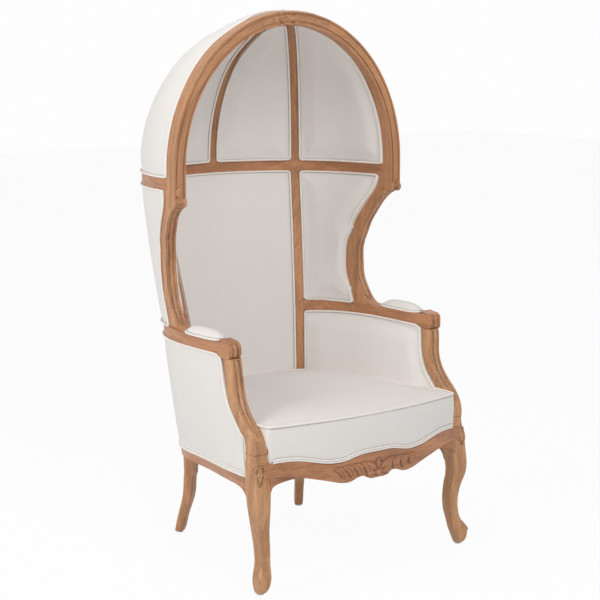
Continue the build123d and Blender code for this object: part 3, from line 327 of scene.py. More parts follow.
def oak(name, grain, tone=(1, 1, 1), waxed_and_shaded=False, joints=()):
    """Oak with its grain along one way: upright, across, back or arched.

    Where its hollows are darkened, the mesh's own attribute darkens it, partly as wax and partly
    as painted shade in the hollows. The joints are the heights of the glue lines across it.
    """
    colours = bpy.context.scene.chair_colours
    finish = Finish(name)
    x, y, z = finish.place()
    if grain == "arched":
        above = (z - spring_z).at_least(0)
        below = (z - spring_z).at_most(0)
        back = y - pole_y
        reach = (x * x + back * back) ** 0.5
        side = (reach * reach + above * above) ** 0.5
        other = x.turned(back) * dome_radius
        along = above.turned(reach) * arch_radius + below
    else:
        ways = {"upright": (x, y, z), "across": (y, z, x), "back": (x, z, y)}
        side, other, along = ways[grain]
    wood = (side, other, along)
    drift = finish.noise(wood, drift_scales, 1.0) * 0.05
    bands = finish.noise((side + drift, other + drift, along), ring_scales, 4.0, 0.62)
    bands = finish.ramp(bands, 0.38, 0.62)
    streaks = finish.ramp(finish.noise(wood, streak_scales, 2.0, 0.6), 0.42, 0.68)
    pores = 1 - finish.ramp(finish.noise(wood, pore_scales, 2.0, 0.7), 0.33, 0.5)
    blotch = finish.noise(wood, blotch_scales)
    dark = bands * 0.36 + streaks * 0.26 + pores * 0.24 + blotch * 0.4 - 0.2
    if waxed_and_shaded:
        # Painted shade: the carving's low places and edges are darkened towards the dark oak, as
        # the shade in its hollows, with some wax there
        glaze = finish.node("ShaderNodeAttribute", {"attribute_name": "glaze"}, output=2)
        dark = dark + glaze * 0.9
    for joint in joints:
        dark = dark + (1 - (z - joint).size() / glue_line).at_least(0)
    light = tuple(channel * share for channel, share in zip(colours.oak_light, tone))
    finish.set(
        Base_Color=finish.mix(dark.at_least(0).at_most(1), light, colours.oak_dark),
        Roughness=0.36 + pores * 0.2 + blotch * 0.12, Coat_Weight=0.15, Coat_Roughness=0.32)
    finish.bump(1 - pores * 0.6 - streaks * 0.2, 0.3, 0.0006)
    return finish.material


def cloth(name, colour, fineness):
    """A plain woven cloth, with slubs both ways and a soft sheen."""
    finish = Finish(name)
    place = finish.place()
    close, long = thread_scale * fineness, slub_scale * fineness
    warp = finish.noise(place, (close, close, long), 2.0, 0.6)
    weft = finish.noise(place, (long, long, close), 2.0, 0.6)
    cloud = finish.noise(place, (11, 11, 11))
    weave = warp * 0.5 + weft * 0.5
    shade = (weave * 0.7 + cloud * 0.3 - 0.3).at_least(0).at_most(1)
    finish.set(
        Base_Color=finish.mix(shade, shaded(colour, 0.94), shaded(colour, 1.05)),
        Roughness=0.82 + weave * 0.12, Sheen_Weight=0.15, Specular_IOR_Level=0.25)
    finish.bump(weave, 0.5, 0.0008)
    return finish.material


def hard(name, colour, scales, detail, darkest, rough, uneven, metallic=0.0):
    """Bare metal or a moulded piece, a little uneven in colour and shine."""
    finish = Finish(name)
    patch = finish.noise(finish.place(), scales, detail)
    finish.set(Base_Color=finish.mix(patch, colour, shaded(colour, darkest)),
               Metallic=metallic, Roughness=rough + patch * uneven)
    return finish.material


def only(*pieces):
    """Selects some pieces and nothing else. The first is the active one."""
    bpy.ops.object.select_all(action="DESELECT")
    for piece in pieces:
        piece.select_set(True)
    bpy.context.view_layer.objects.active = pieces[0]


def edited(piece, *steps):
    """Works on a whole mesh in edit mode: each step is an operator and its settings."""
    only(piece)
    bpy.ops.object.mode_set(mode="EDIT")
    for operator, settings in steps:
        bpy.ops.mesh.select_all(action="SELECT")
        operator(**settings)
    bpy.ops.object.mode_set(mode="OBJECT")


def points_of(mesh, kind="co"):
    """The places of a mesh's points or, where kind is normal, the ways that they face."""
    flat = np.zeros(len(mesh.vertices) * 3)
    mesh.vertices.foreach_get(kind, flat)
    return flat.reshape(-1, 3)


def move_to(mesh, points):
    """Moves all the points of a mesh."""
    mesh.vertices.foreach_set("co", points.ravel())
    mesh.update()


def placed(name, data):
    """An object of its own for some data, in the scene."""
    piece = bpy.data.objects.new(name, data)
    bpy.context.scene.collection.objects.link(piece)
    return piece


def new_piece(name, vertices, faces):
    """A piece made from points and faces."""
    mesh = bpy.data.meshes.new(name)
    mesh.from_pydata([tuple(v) for v in vertices], [], faces)
    return placed(name, mesh)


def copied(node, name):
    """A copy of a CAD node as one joined surface, with no finish of its own."""
    piece = placed(name, nodes[node].data.copy())
    piece.data.materials.clear()
    only(piece)
    if piece.data.has_custom_normals:
        bpy.ops.mesh.customdata_custom_splitnormals_clear()
    edited(piece, (bpy.ops.mesh.remove_doubles, {"threshold": weld}))
    return piece


def modify(piece, name, kind, **settings):
    """Adds a modifier and applies it."""
    only(piece)
    modifier = piece.modifiers.new(name, kind)
    for key, value in settings.items():
        setattr(modifier, key, value)
    bpy.ops.object.modifier_apply(modifier=modifier.name)


def smooth(piece, angle):
    """Shades a piece smooth, except at edges sharper than an angle in degrees."""
    only(piece)
    bpy.ops.object.shade_smooth_by_angle(angle=radians(angle))


def joined(pieces, name):
    """Several pieces as one."""
    only(*pieces)
    if len(pieces) > 1:
        bpy.ops.object.join()
    pieces[0].name = pieces[0].data.name = name
    return pieces[0]


def cut_up(piece, cuts, merge):
    """Cuts a piece's faces across. Each cut is an axis and the places along it."""
    steps = []
    for axis, places in cuts:
        for place in places:
            centre, way = [0, 0, 0], [0, 0, 0]
            centre[axis], way[axis] = float(place), 1
            plane = {"plane_co": centre, "plane_no": way, "threshold": 1e-6}
            steps.append((bpy.ops.mesh.bisect, plane))
    edited(piece, *steps, (bpy.ops.mesh.remove_doubles, {"threshold": merge}))


def on_left(name):
    """The name of a right-hand piece's twin."""
    return name.replace("_right", "_left")


def mirrored(piece):
    """A right-hand piece's mirror image, as a mesh of its own."""
    twin = placed(on_left(piece.name), piece.data.copy())
    points = points_of(twin.data)
    points[:, 0] *= -1
    move_to(twin.data, points)
    edited(twin, (bpy.ops.mesh.flip_normals, {}))
    return twin


def dressed(piece, finish, slot, *stands_for, fill=None):
    """Gives a piece, and its twin if it is a right-hand one, a finish and a place on the chair.

    It stands for some CAD nodes. The fill is not used.
    """
    twins = [mirrored(piece)] if "_right" in piece.name else []
    for each in [piece] + twins:
        each.data.materials.clear()
        each.data.materials.append(bpy.data.materials[finish])
        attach(each, body)
        if stands_for:
            names = [on_left(node) if each in twins else node for node in stands_for]
            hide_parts(*names)


def into_room(point):
    """The level way from a point of the wall to the middle of the seat."""
    way = room_centre - point
    way.z = 0
    return way.normalized()


def into_hood(point):
    """The way from a point of the dome to its middle."""
    return (hood_centre - point).normalized()


def upward(point):
    return Vector((0, 0, 1))


def away(facing):
    """The opposite of a way that depends on the point."""
    return lambda point: -facing(point)


out_of_room, out_of_hood, downward = away(into_room), away(into_hood), away(upward)


def length_of(line):
    """The length of a row of places."""
    return np.linalg.norm(np.diff(line, axis=0), axis=1).sum()


def seam_links(node, facing, shown, sharp=30):
    """The edges of a CAD node where the face that looks along facing meets a side of it.

    They are given as the places of the node's points, and from each point its neighbours
    along the seam, each with the ways that lead into and out of the face there.
    """
    piece = copied(node, "seam_source")
    work = bmesh.new()
    work.from_mesh(piece.data)
    bpy.data.objects.remove(piece)
    links = {}
    for edge in work.edges:
        if len(edge.link_faces) != 2:
            continue
        one, two = edge.verts
        middle = (one.co + two.co) / 2
        shows = [face.normal.dot(facing(middle)) > shown for face in edge.link_faces]
        if shows[0] == shows[1] or edge.calc_face_angle(0) < radians(sharp):
            continue
        face = edge.link_faces[0 if shows[0] else 1]
        inward = face.normal.cross((two.co - one.co).normalized())
        if inward.dot(face.calc_center_median() - middle) < 0:
            inward = -inward
        for first, second in ((one, two), (two, one)):
            link = (second.index, inward.copy(), face.normal.copy())
            links.setdefault(first.index, []).append(link)
    places = {vertex.index: vertex.co.copy() for vertex in work.verts}
    work.free()
    return places, links


def seam_loops(node, facing, shown=0.45, shortest=0.15):
    """The seams round a CAD node's face: places, ways in, ways out and whether it closes."""
    places, links = seam_links(node, facing, shown)
    ends = [index for index, found in links.items() if len(found) == 1]
    chains, used = [], set()
    for start in ends + list(links):
        if start in used:
            continue
        chain = [(start, *links[start][0][1:])]
        used.add(start)
        while True:
            onward = [link for link in links[chain[-1][0]] if link[0] not in used]
            if not onward:
                break
            chain.append(onward[0])
            used.add(onward[0][0])
        if len(chain) > 1:
            at, inward, outward = zip(*chain)
            chains.append([np.array([tuple(v) for v in part])
                           for part in ([places[i] for i in at], inward, outward)])
    return [loop for loop in stitched(chains)
            if len(loop[0]) > 4 and length_of(loop[0]) > shortest]


def stitched(chains, reach=0.08):
    """Seams made from their pieces, each joined to the nearest end and closed if it can be."""
    chains = sorted(chains, key=lambda chain: -length_of(chain[0]))
    loops = []
    while chains:
        loop = chains.pop(0)
        while chains:
            end = loop[0][-1]
            gap, i, at = min((np.linalg.norm(chain[0][at] - end), i, at)
                             for i, chain in enumerate(chains) for at in (0, -1))
            if gap > reach or gap > np.linalg.norm(loop[0][0] - end):
                break
            chain = chains.pop(i)
            if at == -1:
                chain = [part[::-1] for part in chain]
            loop = [np.vstack(pair) for pair in zip(loop, chain)]
        closed = bool(np.linalg.norm(loop[0][0] - loop[0][-1]) < reach)
        loops.append((*loop, closed))
    return loops


def evened(line, inward, outward, closed, step=0.006, soften=2):
    """A seam at even steps, slightly rounded."""
    parts = [line, inward, outward]
    if closed:
        parts = [np.vstack([part, part[:1]]) for part in parts]
    steps = np.linalg.norm(np.diff(parts[0], axis=0), axis=1)
    run = np.concatenate([[0], np.cumsum(steps)])
    at = np.linspace(0, run[-1], max(8, int(run[-1] / step)), endpoint=not closed)
    parts = [np.stack([np.interp(at, run, part[:, axis]) for axis in range(3)], 1)
             for part in parts]
    for _ in range(soften):
        for i, part in enumerate(parts):
            softer = part / 2 + (np.roll(part, -1, 0) + np.roll(part, 1, 0)) / 4
            if not closed:
                softer[0], softer[-1] = part[0], part[-1]
            parts[i] = softer
    for way in parts[1:]:
        way /= np.linalg.norm(way, axis=1, keepdims=True) + 1e-9
    return parts


def tube(name, line, closed, radius):
    """A round cord along a line."""
    curve = bpy.data.curves.new(name, "CURVE")
    curve.dimensions = "3D"
    spline = curve.splines.new("POLY")
    spline.points.add(len(line) - 1)
    spline.points.foreach_set("co", np.hstack([line, np.ones((len(line), 1))]).ravel())
    spline.use_cyclic_u = closed
    curve.bevel_depth = radius
    curve.bevel_resolution = 2
    curve.use_fill_caps = not closed
    piece = placed(name, curve)
    only(piece)
    bpy.ops.object.convert(target="MESH")
    bpy.ops.object.shade_smooth()
    return piece


def piping(node, facing, rise=0.9, shift=0.35, valley=(1.35, 0.55), soften=2, **seams):
    """The piping sewn round a panel, and a thin dark cord beside it that paints the shadow in the
    crease.

    The shift is how far the piping lies in from the edge, the rise how far it stands out,
    and the shadow line both of these for the dark cord, all in radii of the piping.
    """
    radius = bpy.context.scene.chair_sizes.piping_radius
    cords, shadow_lines = [], []
    for loop in seam_loops(node, facing, **seams):
        closed = loop[3]
        line, inward, outward = evened(*loop, soften=soften)
        path = line + radius * (inward * shift + outward * rise)
        cords.append(tube("cord", path, closed, radius))
        # A thin dark cord in the crease beside the piping: a painted shadow line
        path = line + radius * (inward * valley[0] + outward * valley[1])
        shadow_lines.append(tube("valley", path, closed, radius * 0.3))
    return joined(cords, node + "_piping"), joined(shadow_lines, node + "_seam")


def double_welt(name, line, toward):
    """Two rows of piping along a border, with thin dark cords between and above them as painted
    shadow lines.
    """
    radius = bpy.context.scene.chair_sizes.piping_radius
    rows = []
    # Each row's height above the border, how far it stands out and its thickness, in radii; the
    # two thin rows are dark cords painted as the shadow in the creases
    for height, rise, thick in ((0.9, 0.8, 1), (2.95, 0.8, 1), (1.92, 0.9, 0.3), (4, 0.3, 0.3)):
        path = line - np.array(toward) * radius * rise
        path[:, 2] += radius * height
        rows.append(tube("row", path, False, radius * thick))
    return joined(rows[:2], name + "_welt"), joined(rows[2:], name + "_welt_seam")


def sewn_on(pieces):
    """Finishes piping, and the dark cord beside it that paints the shadow in the crease."""
    for piece, finish in zip(pieces, ("piping_weave", "thread_weave")):
        dressed(piece, finish, "linen")


def fullness(points, node, facing, reach):
    """How full a pad is at each point, from 0 at its seams to 1 at a reach from them."""
    line = np.vstack([evened(*loop)[0] for loop in seam_loops(node, facing)])
    tree = KDTree(len(line))
    for i, place in enumerate(line):
        tree.insert(place, i)
    tree.balance()
    near = np.clip(np.array([tree.find(place)[2] for place in points]) / reach, 0, 1)
    return near * near * (3 - 2 * near)


def facing_share(points, normals, facing, least=0.2, most=0.7):
    """How squarely each point of a surface looks along facing, from 0 to 1."""
    ways = np.array([tuple(facing(Vector(place))) for place in points])
    return np.clip(((ways * normals).sum(1) - least) / (most - least), 0, 1)


def blown_up(pad, steps=20):
    """The places of a pad's points after some steps of a cloth simulation with pressure."""
    only(pad)
    puff = pad.modifiers.new("stuffing", "CLOTH")
    puff.settings.use_pressure = True
    puff.settings.uniform_pressure_force = bpy.context.scene.chair_sizes.pressure
    puff.settings.effector_weights.gravity = 0
    puff.settings.quality = 3
    puff.point_cache.frame_start, puff.point_cache.frame_end = 1, steps
    for number in range(1, steps + 1):
        bpy.context.scene.frame_set(number)
    bpy.ops.object.modifier_apply(modifier=puff.name)
    bpy.context.scene.frame_set(1)
    return points_of(pad.data)


def swollen(node, name, facing, cap, reach, voxel=None, seam_side=None):
    """A stuffed pad: a CAD node's form, blown up by simulation and held in at its seams.

    No point moves further than the cap, and the pad is full at a reach from its seams,
    which lie on its seam side.
    """
    pad = copied(node, name)
    only(pad)
    pad.data.remesh_voxel_size = voxel or bpy.context.scene.chair_sizes.remesh
    pad.data.use_remesh_fix_poles = False
    bpy.ops.object.voxel_remesh()
    start, normals = points_of(pad.data), points_of(pad.data, "normal")
    share = facing_share(start, normals, facing)
    full = fullness(start, node, seam_side or facing, reach)
    moved = blown_up(pad)
    step = moved - start
    step *= np.minimum(1, cap / (np.linalg.norm(step, axis=1, keepdims=True) + 1e-9))
    move_to(pad.data, start + step * (share * full)[:, None])
    modify(pad, "smoothing", "SUBSURF", levels=1, render_levels=1)
    only(pad)
    bpy.ops.object.shade_smooth()
    return pad


def stretched(node, name, facing, puff, reach, pitch=0.016):
    """A cover stretched over the frame: the CAD form divided evenly and filled out."""
    panel = copied(node, name)
    low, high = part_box(node)
    cuts = [(axis, np.arange(low[axis] + pitch, high[axis], pitch)) for axis in range(3)]
    cut_up(panel, cuts, 0.0005)
    start, normals = points_of(panel.data), points_of(panel.data, "normal")
    full = fullness(start, node, facing, reach)
    share = facing_share(start, normals, facing)
    move_to(panel.data, start + normals * (puff * full * share)[:, None])
    smooth(panel, 40)
    return panel


def lower_seat(piece):
    """Lets the seat's top edge down, so that its middle is crowned above its sides."""
    points = points_of(piece.data)
    share = np.clip((points[:, 2] - rail_high.z) / (seat_z - rail_high.z), 0, 1.1)
    points[:, 2] -= bpy.context.scene.chair_sizes.seat_drop * share
    move_to(piece.data, points)


def highest(*heights):
    """The highest of some heights over a plane."""
    return np.maximum.reduce(heights)


def leaf(u, v, at, turn, length, width, curl=0.2):
    """The height of one carved leaf over a plane, from 0 to 1: a comma with a veined middle."""
    du, dv = u - at[0], v - at[1]
    along = (du * cos(turn) + dv * sin(turn)) / length
    across = -du * sin(turn) + dv * cos(turn) + curl * length * np.sin(pi * along)
    inside = np.clip(along, 0, 1)
    half = width * (np.sin(pi * inside ** 0.7) ** 0.6 + 1e-4)
    form = np.sqrt(np.clip(1 - (across / half) ** 2, 0, 1))
    form *= 1 - 0.45 * np.exp(-(across / (0.13 * width)) ** 2)
    form *= 0.7 + 0.3 * inside
    return np.where((along > 0) & (along < 1), form, 0)


def shell(u, v, at, radius, flutes, opening):
    """The height of a carved shell, fanning upwards, from 0 to 1."""
    du, dv = u - at[0], v - at[1]
    reach = np.hypot(du, dv)
    turn = np.arctan2(du, dv)
    flute = np.cos(turn * flutes * pi / opening)
    scallop = radius * (0.9 + 0.1 * flute)
    form = np.clip(1 - (reach / scallop) ** 6, 0, 1) * (0.45 + 0.55 * reach / radius)
    form *= 0.72 + 0.28 * flute
    return np.where(np.abs(turn) < opening, form, 0)


def boss(u, v, at, radius):
    """The height of a round boss, from 0 to 1."""
    reach = (u - at[0]) ** 2 + (v - at[1]) ** 2
    return np.sqrt(np.clip(1 - reach / radius ** 2, 0, 1))


def spray(u, v):
    """The front rail's carving: a shell and boss, with four leaves that lean out each side."""
    leaves = []
    for k in range(4):
        at, turn, size = (0.03 + 0.0295 * k, -0.036 + 0.005 * k), 1.0 - 0.12 * k, 1 - 0.1 * k
        leaves.append(leaf(np.abs(u), v, at, turn, 0.056 * size, 0.0155 * size, -0.22))
    return highest(shell(u, v, (0, -0.026), 0.044, flutes=5, opening=1.9),
                   boss(u, v, (0, -0.027), 0.011), *leaves)


def cartouche(u, v):
    """The knee's carving: a rimmed drop with a hanging leaf, two small leaves and a boss."""
    u = u / 1.45
    radius, top, foot = 0.0135, 0.008, -0.036
    taper = np.clip((v - foot) / (top - foot), 1e-3, 1) ** 0.8
    drop = np.where(v > top, np.hypot(u, v - top) / radius, np.abs(u) / (radius * taper))
    drop = np.where(v < foot, 2, drop)
    rim = np.exp(-((drop - 0.86) / 0.16) ** 2)
    small = [0.8 * leaf(u * way, v, (0.001, 0.004), -0.7, 0.014, 0.004) for way in (-1, 1)]
    return highest(np.where(drop < 1.25, np.maximum(rim, 0.3 * (drop < 0.9)), 0),
                   0.9 * leaf(u, v, (0, 0.014), -pi / 2, 0.036, 0.0055, 0), *small,
                   boss(u, v, (0, 0.012), 0.0045))


def toe_leaves(u, v):
    """Three leaves that hang over the toe."""
    sides = [leaf(u * way, v, (0.003, 0.012), -1.0, 0.022, 0.005) for way in (-1, 1)]
    return highest(leaf(u, v, (0, 0.014), -pi / 2, 0.028, 0.0065, 0), *sides)


def crest(u, v):
    """The bow of leaves where the halves of the hoop meet."""
    side = np.abs(u)
    return highest(boss(u, v, (0, -0.002), 0.008),
                   leaf(side, v, (0.004, 0), 0, 0.046, 0.009),
                   leaf(side, v, (0.004, 0.004), 0.5, 0.026, 0.007),
                   leaf(side, v, (0.004, -0.004), -0.5, 0.026, 0.007))


def ear(u, v):
    """The scroll at the hoop's foot, under a rising leaf."""
    middle = -0.004
    reach, turn = np.hypot(u, v - middle), np.arctan2(v - middle, u)
    laps = [(turn + pi) / (2 * pi) + lap for lap in (0, 1)]
    rings = [np.exp(-((reach - (0.0115 - 0.0032 * lap)) / 0.0013) ** 2) for lap in laps]
    return highest(*rings, boss(u, v, (0, middle), 0.0045),
                   0.9 * leaf(u, v, (0, 0.008), pi / 2, 0.032, 0.009, 0.1))


def surface_of(*names):
    """The faces of some CAD nodes or pieces, ready to be met by rays."""
    vertices, faces = [], []
    for name in names:
        mesh = (nodes[name] if name in nodes else bpy.data.objects[name]).data
        offset = len(vertices)
        vertices += [tuple(v.co) for v in mesh.vertices]
        faces += [[i + offset for i in face.vertices] for face in mesh.polygons]
    return BVHTree.FromPolygons(vertices, faces)


def laid(name, surface, starts, toward, tall, depth):
    """Carving that stands on the wood, from a grid of starting points and one of heights.

    It is darkest where it is lowest: partly wax, partly painted shade in the hollows. Faces that
    would span a step of the wood, and ground that nothing stands near, are left out.
    """
    rows, columns = tall.shape
    step = np.linalg.norm(starts[0, 1] - starts[0, 0])
    index = np.full(tall.shape, -1)
    places, glaze, deep = [], [], []
    for i in range(rows):
        for j in range(columns):
            if tall[max(i - 2, 0):i + 3, max(j - 2, 0):j + 3].max() <= 0.02:
                continue
            hit, _, _, far = surface.ray_cast(Vector(starts[i, j]), toward, carving_reach)
            if hit is None:
                continue
            index[i, j] = len(places)
            places.append(hit - toward * float(depth * tall[i, j] - carving_sink))
            # Painted shade, with some wax: the lower the carving, the darker it is painted
            glaze.append(float(np.clip(1 - tall[i, j] * 1.5, 0, 1)))
            deep.append(far)
    quads = []
    for i in range(rows - 1):
        for j in range(columns - 1):
            quad = [index[i, j], index[i, j + 1], index[i + 1, j + 1], index[i + 1, j]]
            if min(quad) >= 0 and np.ptp([deep[k] for k in quad]) <= 4 * step:
                quads.append([int(k) for k in quad])
    piece = new_piece(name, places, quads)
    attribute = piece.data.attributes.new("glaze", "FLOAT", "POINT")
    attribute.data.foreach_set("value", glaze)
    edited(piece, (bpy.ops.mesh.normals_make_consistent, {"inside": False}),
           (bpy.ops.mesh.delete_loose, {}))
    if piece.data.polygons and piece.data.polygons[0].normal.dot(toward) > 0:
        piece.data.flip_normals()
    bpy.ops.object.shade_smooth()
    return piece


def relief(names, name, middle, right, size, form, depth, step):
    """Carving over an upright rectangle of the wood, whose width runs along right."""
    right = Vector(right).normalized()
    toward = Vector((0, 0, 1)).cross(right).normalized()
    width, height = size
    u, v = np.meshgrid(np.arange(-width / 2, width / 2, step),
                       np.arange(-height / 2, height / 2, step))
    starts = np.array(Vector(middle) - toward * 0.06) + u[:, :, None] * np.array(right)
    starts[:, :, 2] += v
    return laid(name, surface_of(*names), starts, toward, form(u, v), depth)


def rounded(run, rounds):
    """A row of numbers or places, each moved towards its neighbours a few times."""
    run = run.copy()
    for _ in range(rounds):
        run[1:-1] = run[1:-1] / 2 + (run[:-2] + run[2:]) / 4
    return run


def without_gaps(run):
    """A row of numbers, the unknown ones worked out from their neighbours."""
    known = ~np.isnan(run)
    return np.interp(np.arange(len(run)), np.flatnonzero(known), run[known])


def face_width(surface, start, z, aside=0.12, step=0.0015, bend=0.025):
    """The middle and half the width of a post's front at a height, beside a starting point.

    It is looked for so far aside, and may bend back by so much.
    """
    found, fars = [], []
    for x in np.arange(-aside, aside, step):
        place = Vector((start.x + x, start.y, z))
        hit, normal, _, far = surface.ray_cast(place, from_front, 2 * stand_off)
        if hit is not None and normal.dot(from_front) < -0.5:
            found.append(x)
            fars.append(far)
    found = [x for x, far in zip(found, fars) if far < min(fars) + bend]
    if not found:
        return np.nan, np.nan
    return (found[0] + found[-1]) / 2, (found[-1] - found[0]) / 2


def moulding(node, name, low, high, share, point, ridges=3, step=broad_step):
    """Beads and hollows up a share of a post's front, drawn in over a point at the foot."""
    surface = surface_of(node)
    corner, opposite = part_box(node)
    start = (corner + opposite) / 2 - from_front * stand_off
    levels = np.arange(low, high, step * 1.5)
    faces = np.array([face_width(surface, start, float(z)) for z in levels])
    centres, halves = [rounded(without_gaps(column), 12) for column in faces.T]
    t = np.linspace(-1, 1, max(12, int(2 * share * halves.max() / step)))
    narrow = 1 if not point else np.clip((levels - low) / point, 0.02, 1) ** 0.6
    starts = np.zeros((len(levels), len(t), 3))
    starts[:, :, 0] = start.x + centres[:, None] + t[None, :] * (share * halves * narrow)[:, None]
    starts[:, :, 1] = start.y
    starts[:, :, 2] = levels[:, None]
    for place in starts.reshape(-1, 3):
        far = surface.ray_cast(Vector(place), from_front, 2 * stand_off)[3]
        place[1] += (stand_off if far is None else far) - near_off
    hollow, brim, run_out = 0.3, 0.1, 0.004
    form = hollow + (1 - hollow) * (0.5 + 0.5 * np.cos(pi * (ridges - 1) * (t + 1)))
    form = form * np.clip((1 - np.abs(t)) / brim, 0, 1)
    ends = np.clip(np.minimum(levels - low, high - levels) / run_out, 0, 1)
    depth = bpy.context.scene.chair_sizes.moulding_depth
    return laid(name, surface, starts, from_front, form[None, :] * ends[:, None], depth)


def border(wood, cover, stations, place_of, toward, low, high):
    """The line along which a cover meets the top of a rail, seen along toward."""
    sight, proud, fold = 0.8, 0.0005, 0.02
    rail, cloth_face = surface_of(wood), surface_of(cover)
    line = []
    for station in stations:
        edge, nearest = None, 1
        for z in np.arange(high, low, -walk):
            start = Vector(place_of(float(station), float(z)))
            hit, _, _, far = cloth_face.ray_cast(start, toward, sight)
            wood_far = rail.ray_cast(start, toward, sight)[3]
            hidden = wood_far is not None and hit is not None and wood_far < far - proud
            if hit is None or hidden or far > nearest + fold:
                break
            edge, nearest = hit, far
        if edge is not None:
            line.append(tuple(edge))
    return rounded(np.array(line), 6)


def shaped_leg(node, name):
    """A front leg with its toe scrolled outwards over a narrow sole."""
    rise, width, merge, near = 0.004, 0.007, 0.0003, 0.0002
    leg = copied(node, name)
    low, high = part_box(node)
    levels = np.arange(low.z + rise, low.z + toe_height, rise)
    cut_up(leg, [(2, levels)], merge)
    cut_up(leg, [(0, np.arange(low.x, high.x, width))], merge)
    points = points_of(leg.data)
    rings = [points[np.abs(points[:, 2] - z) < near, :2] for z in levels]
    centres = rounded(np.array([(ring.max(0) + ring.min(0)) / 2 for ring in rings]), 3)
    toe = points[:, 2] < low.z + toe_height
    heights = points[toe, 2]
    centre = np.stack([np.interp(heights, levels, column) for column in centres.T], 1)
    spread = points[toe, :2] - centre
    share = (heights - low.z) / toe_height
    outer = np.clip((spread[:, 0] - spread[:, 1]) / 0.05, 0, 1)
    flare = 0.006 * np.exp(-((share - 0.48) / 0.16) ** 2) * outer
    spread *= np.interp(share, toe_levels, toe_widths)[:, None]
    points[toe, :2] = centre + spread + flare[:, None] * np.array((1, -1))
    move_to(leg.data, points)
    smooth(leg, 40)
    return leg


def under_edge(surface, place_of, toward, stations, low, high):
    """The height of a rail's lower edge at some stations along it."""
    def met(station, z):
        place = Vector(place_of(float(station), float(z)))
        return surface.ray_cast(place, toward, rail_reach)[0] is not None

    levels = np.arange(low, high, walk)
    return [next((float(z) for z in levels if met(station, z)), high) for station in stations]


def hollow_outline(corner, way, reach, run, under):
    """A bracket's outline: a hollow curve from the leg to the rail, and back under the rail."""
    drop, tuck, overlap = 0.04, 0.004, 0.0015
    foot = under[0] - drop
    flatness = (reach / 0.05) ** 0.6
    outline = [(corner - way * tuck, foot)]
    for turn in np.linspace(0, pi / 2, 12)[1:-1]:
        outline.append((corner + way * reach * (1 - cos(turn)) ** flatness,
                        foot + (under[-1] - foot) * sin(turn)))
    outline += [(corner + way * a, z + overlap) for a, z in reversed(list(zip(run, under)))]
    return outline + [(corner - way * tuck, under[0] + overlap)]


def bracket(name, outline, place_of, near, far):
    """A block whose outline is repeated on two planes, with its edges eased."""
    count = len(outline)
    vertices = [place_of(a, z, deep) for deep in (near, far) for a, z in outline]
    faces = [list(range(count)), list(range(2 * count - 1, count - 1, -1))]
    faces += [[i, i + count, (i + 1) % count + count, (i + 1) % count] for i in range(count)]
    piece = new_piece(name, vertices, faces)
    edited(piece, (bpy.ops.mesh.normals_make_consistent, {"inside": False}))
    modify(piece, "edges", "BEVEL", width=0.0025, segments=3, limit_method="ANGLE",
           angle_limit=radians(50))
    smooth(piece, 35)
    return piece


class CHAIR_OT_finishes(bpy.types.Operator):
    """The oak and the cloths that the pieces share"""

    bl_idname = "chair.finishes"
    bl_label = "Finishes"

    def execute(self, context):
        colours = context.scene.chair_colours
        fineness = {"linen": 1.0, "piping": 0.8, "thread": 0.8, "lining": 0.5, "webbing": 0.3}
        for name, fine in fineness.items():
            cloth(name + "_weave", tuple(getattr(colours, name)), fine)
        for name, (grain, tone, waxed_and_shaded) in oak_finishes.items():
            oak(name, grain, tone, waxed_and_shaded)
        oak("oak_jointed", "upright", post_tone, joints=(post_low.z, post_high.z))
        return {"FINISHED"}


class CHAIR_OT_stage(bpy.types.Operator):
    """The floor, the light and the camera at the photograph's angle"""

    bl_idname = "chair.stage"
    bl_label = "Stage"

    def execute(self, context):
        scene = context.scene
        scene.view_settings.view_transform = "Standard"
        white = (1, 1, 1, 1)

        world = bpy.data.worlds.new("studio")
        scene.world = world
        world.use_nodes = True
        sky = Nodes(world.node_tree)
        lit, seen = [sky.node("ShaderNodeBackground", inputs={0: white, 1: strength})
                     for strength in (sky_lit, sky_seen)]
        sky.node("ShaderNodeOutputWorld", inputs={0: sky.node(
            "ShaderNodeMixShader", inputs={0: sky.in_sight(), 1: lit, 2: seen})})

        finish = Finish("pale_floor")
        finish.set(Base_Color=(0.9, 0.9, 0.9, 1), Roughness=0.9)
        glow = finish.node("ShaderNodeEmission", inputs={0: white, 1: 1.0})
        share = finish.in_sight() * floor_glow
        finish.join(finish.out.inputs[0], finish.node(
            "ShaderNodeMixShader", inputs={0: share, 1: finish.surface, 2: glow}))
        corners = ((-1, -1), (1, -1), (1, 1), (-1, 1))
        floor = new_piece("floor", [(x * floor_half, y * floor_half, floor_z)
                                    for x, y in corners], [(0, 1, 2, 3)])
        floor.data.materials.append(finish.material)

        for name, place, width, power in lamps:
            light = bpy.data.lights.new(name, "AREA")
            light.size, light.energy = width, power
            self.aim(placed(name, light), place, lamp_target)

        view = bpy.data.cameras.new("camera")
        view.lens, view.sensor_width = camera_lens, camera_sensor
        scene.camera = placed("camera", view)
        self.aim(scene.camera, camera_place, camera_target)
        return {"FINISHED"}

    def aim(self, thing, place, target):
        """Stands a lamp or the camera at a place and turns it towards a target."""
        thing.location = place
        way = Vector(target) - Vector(place)
        thing.rotation_euler = way.to_track_quat("-Z", "Y").to_euler()


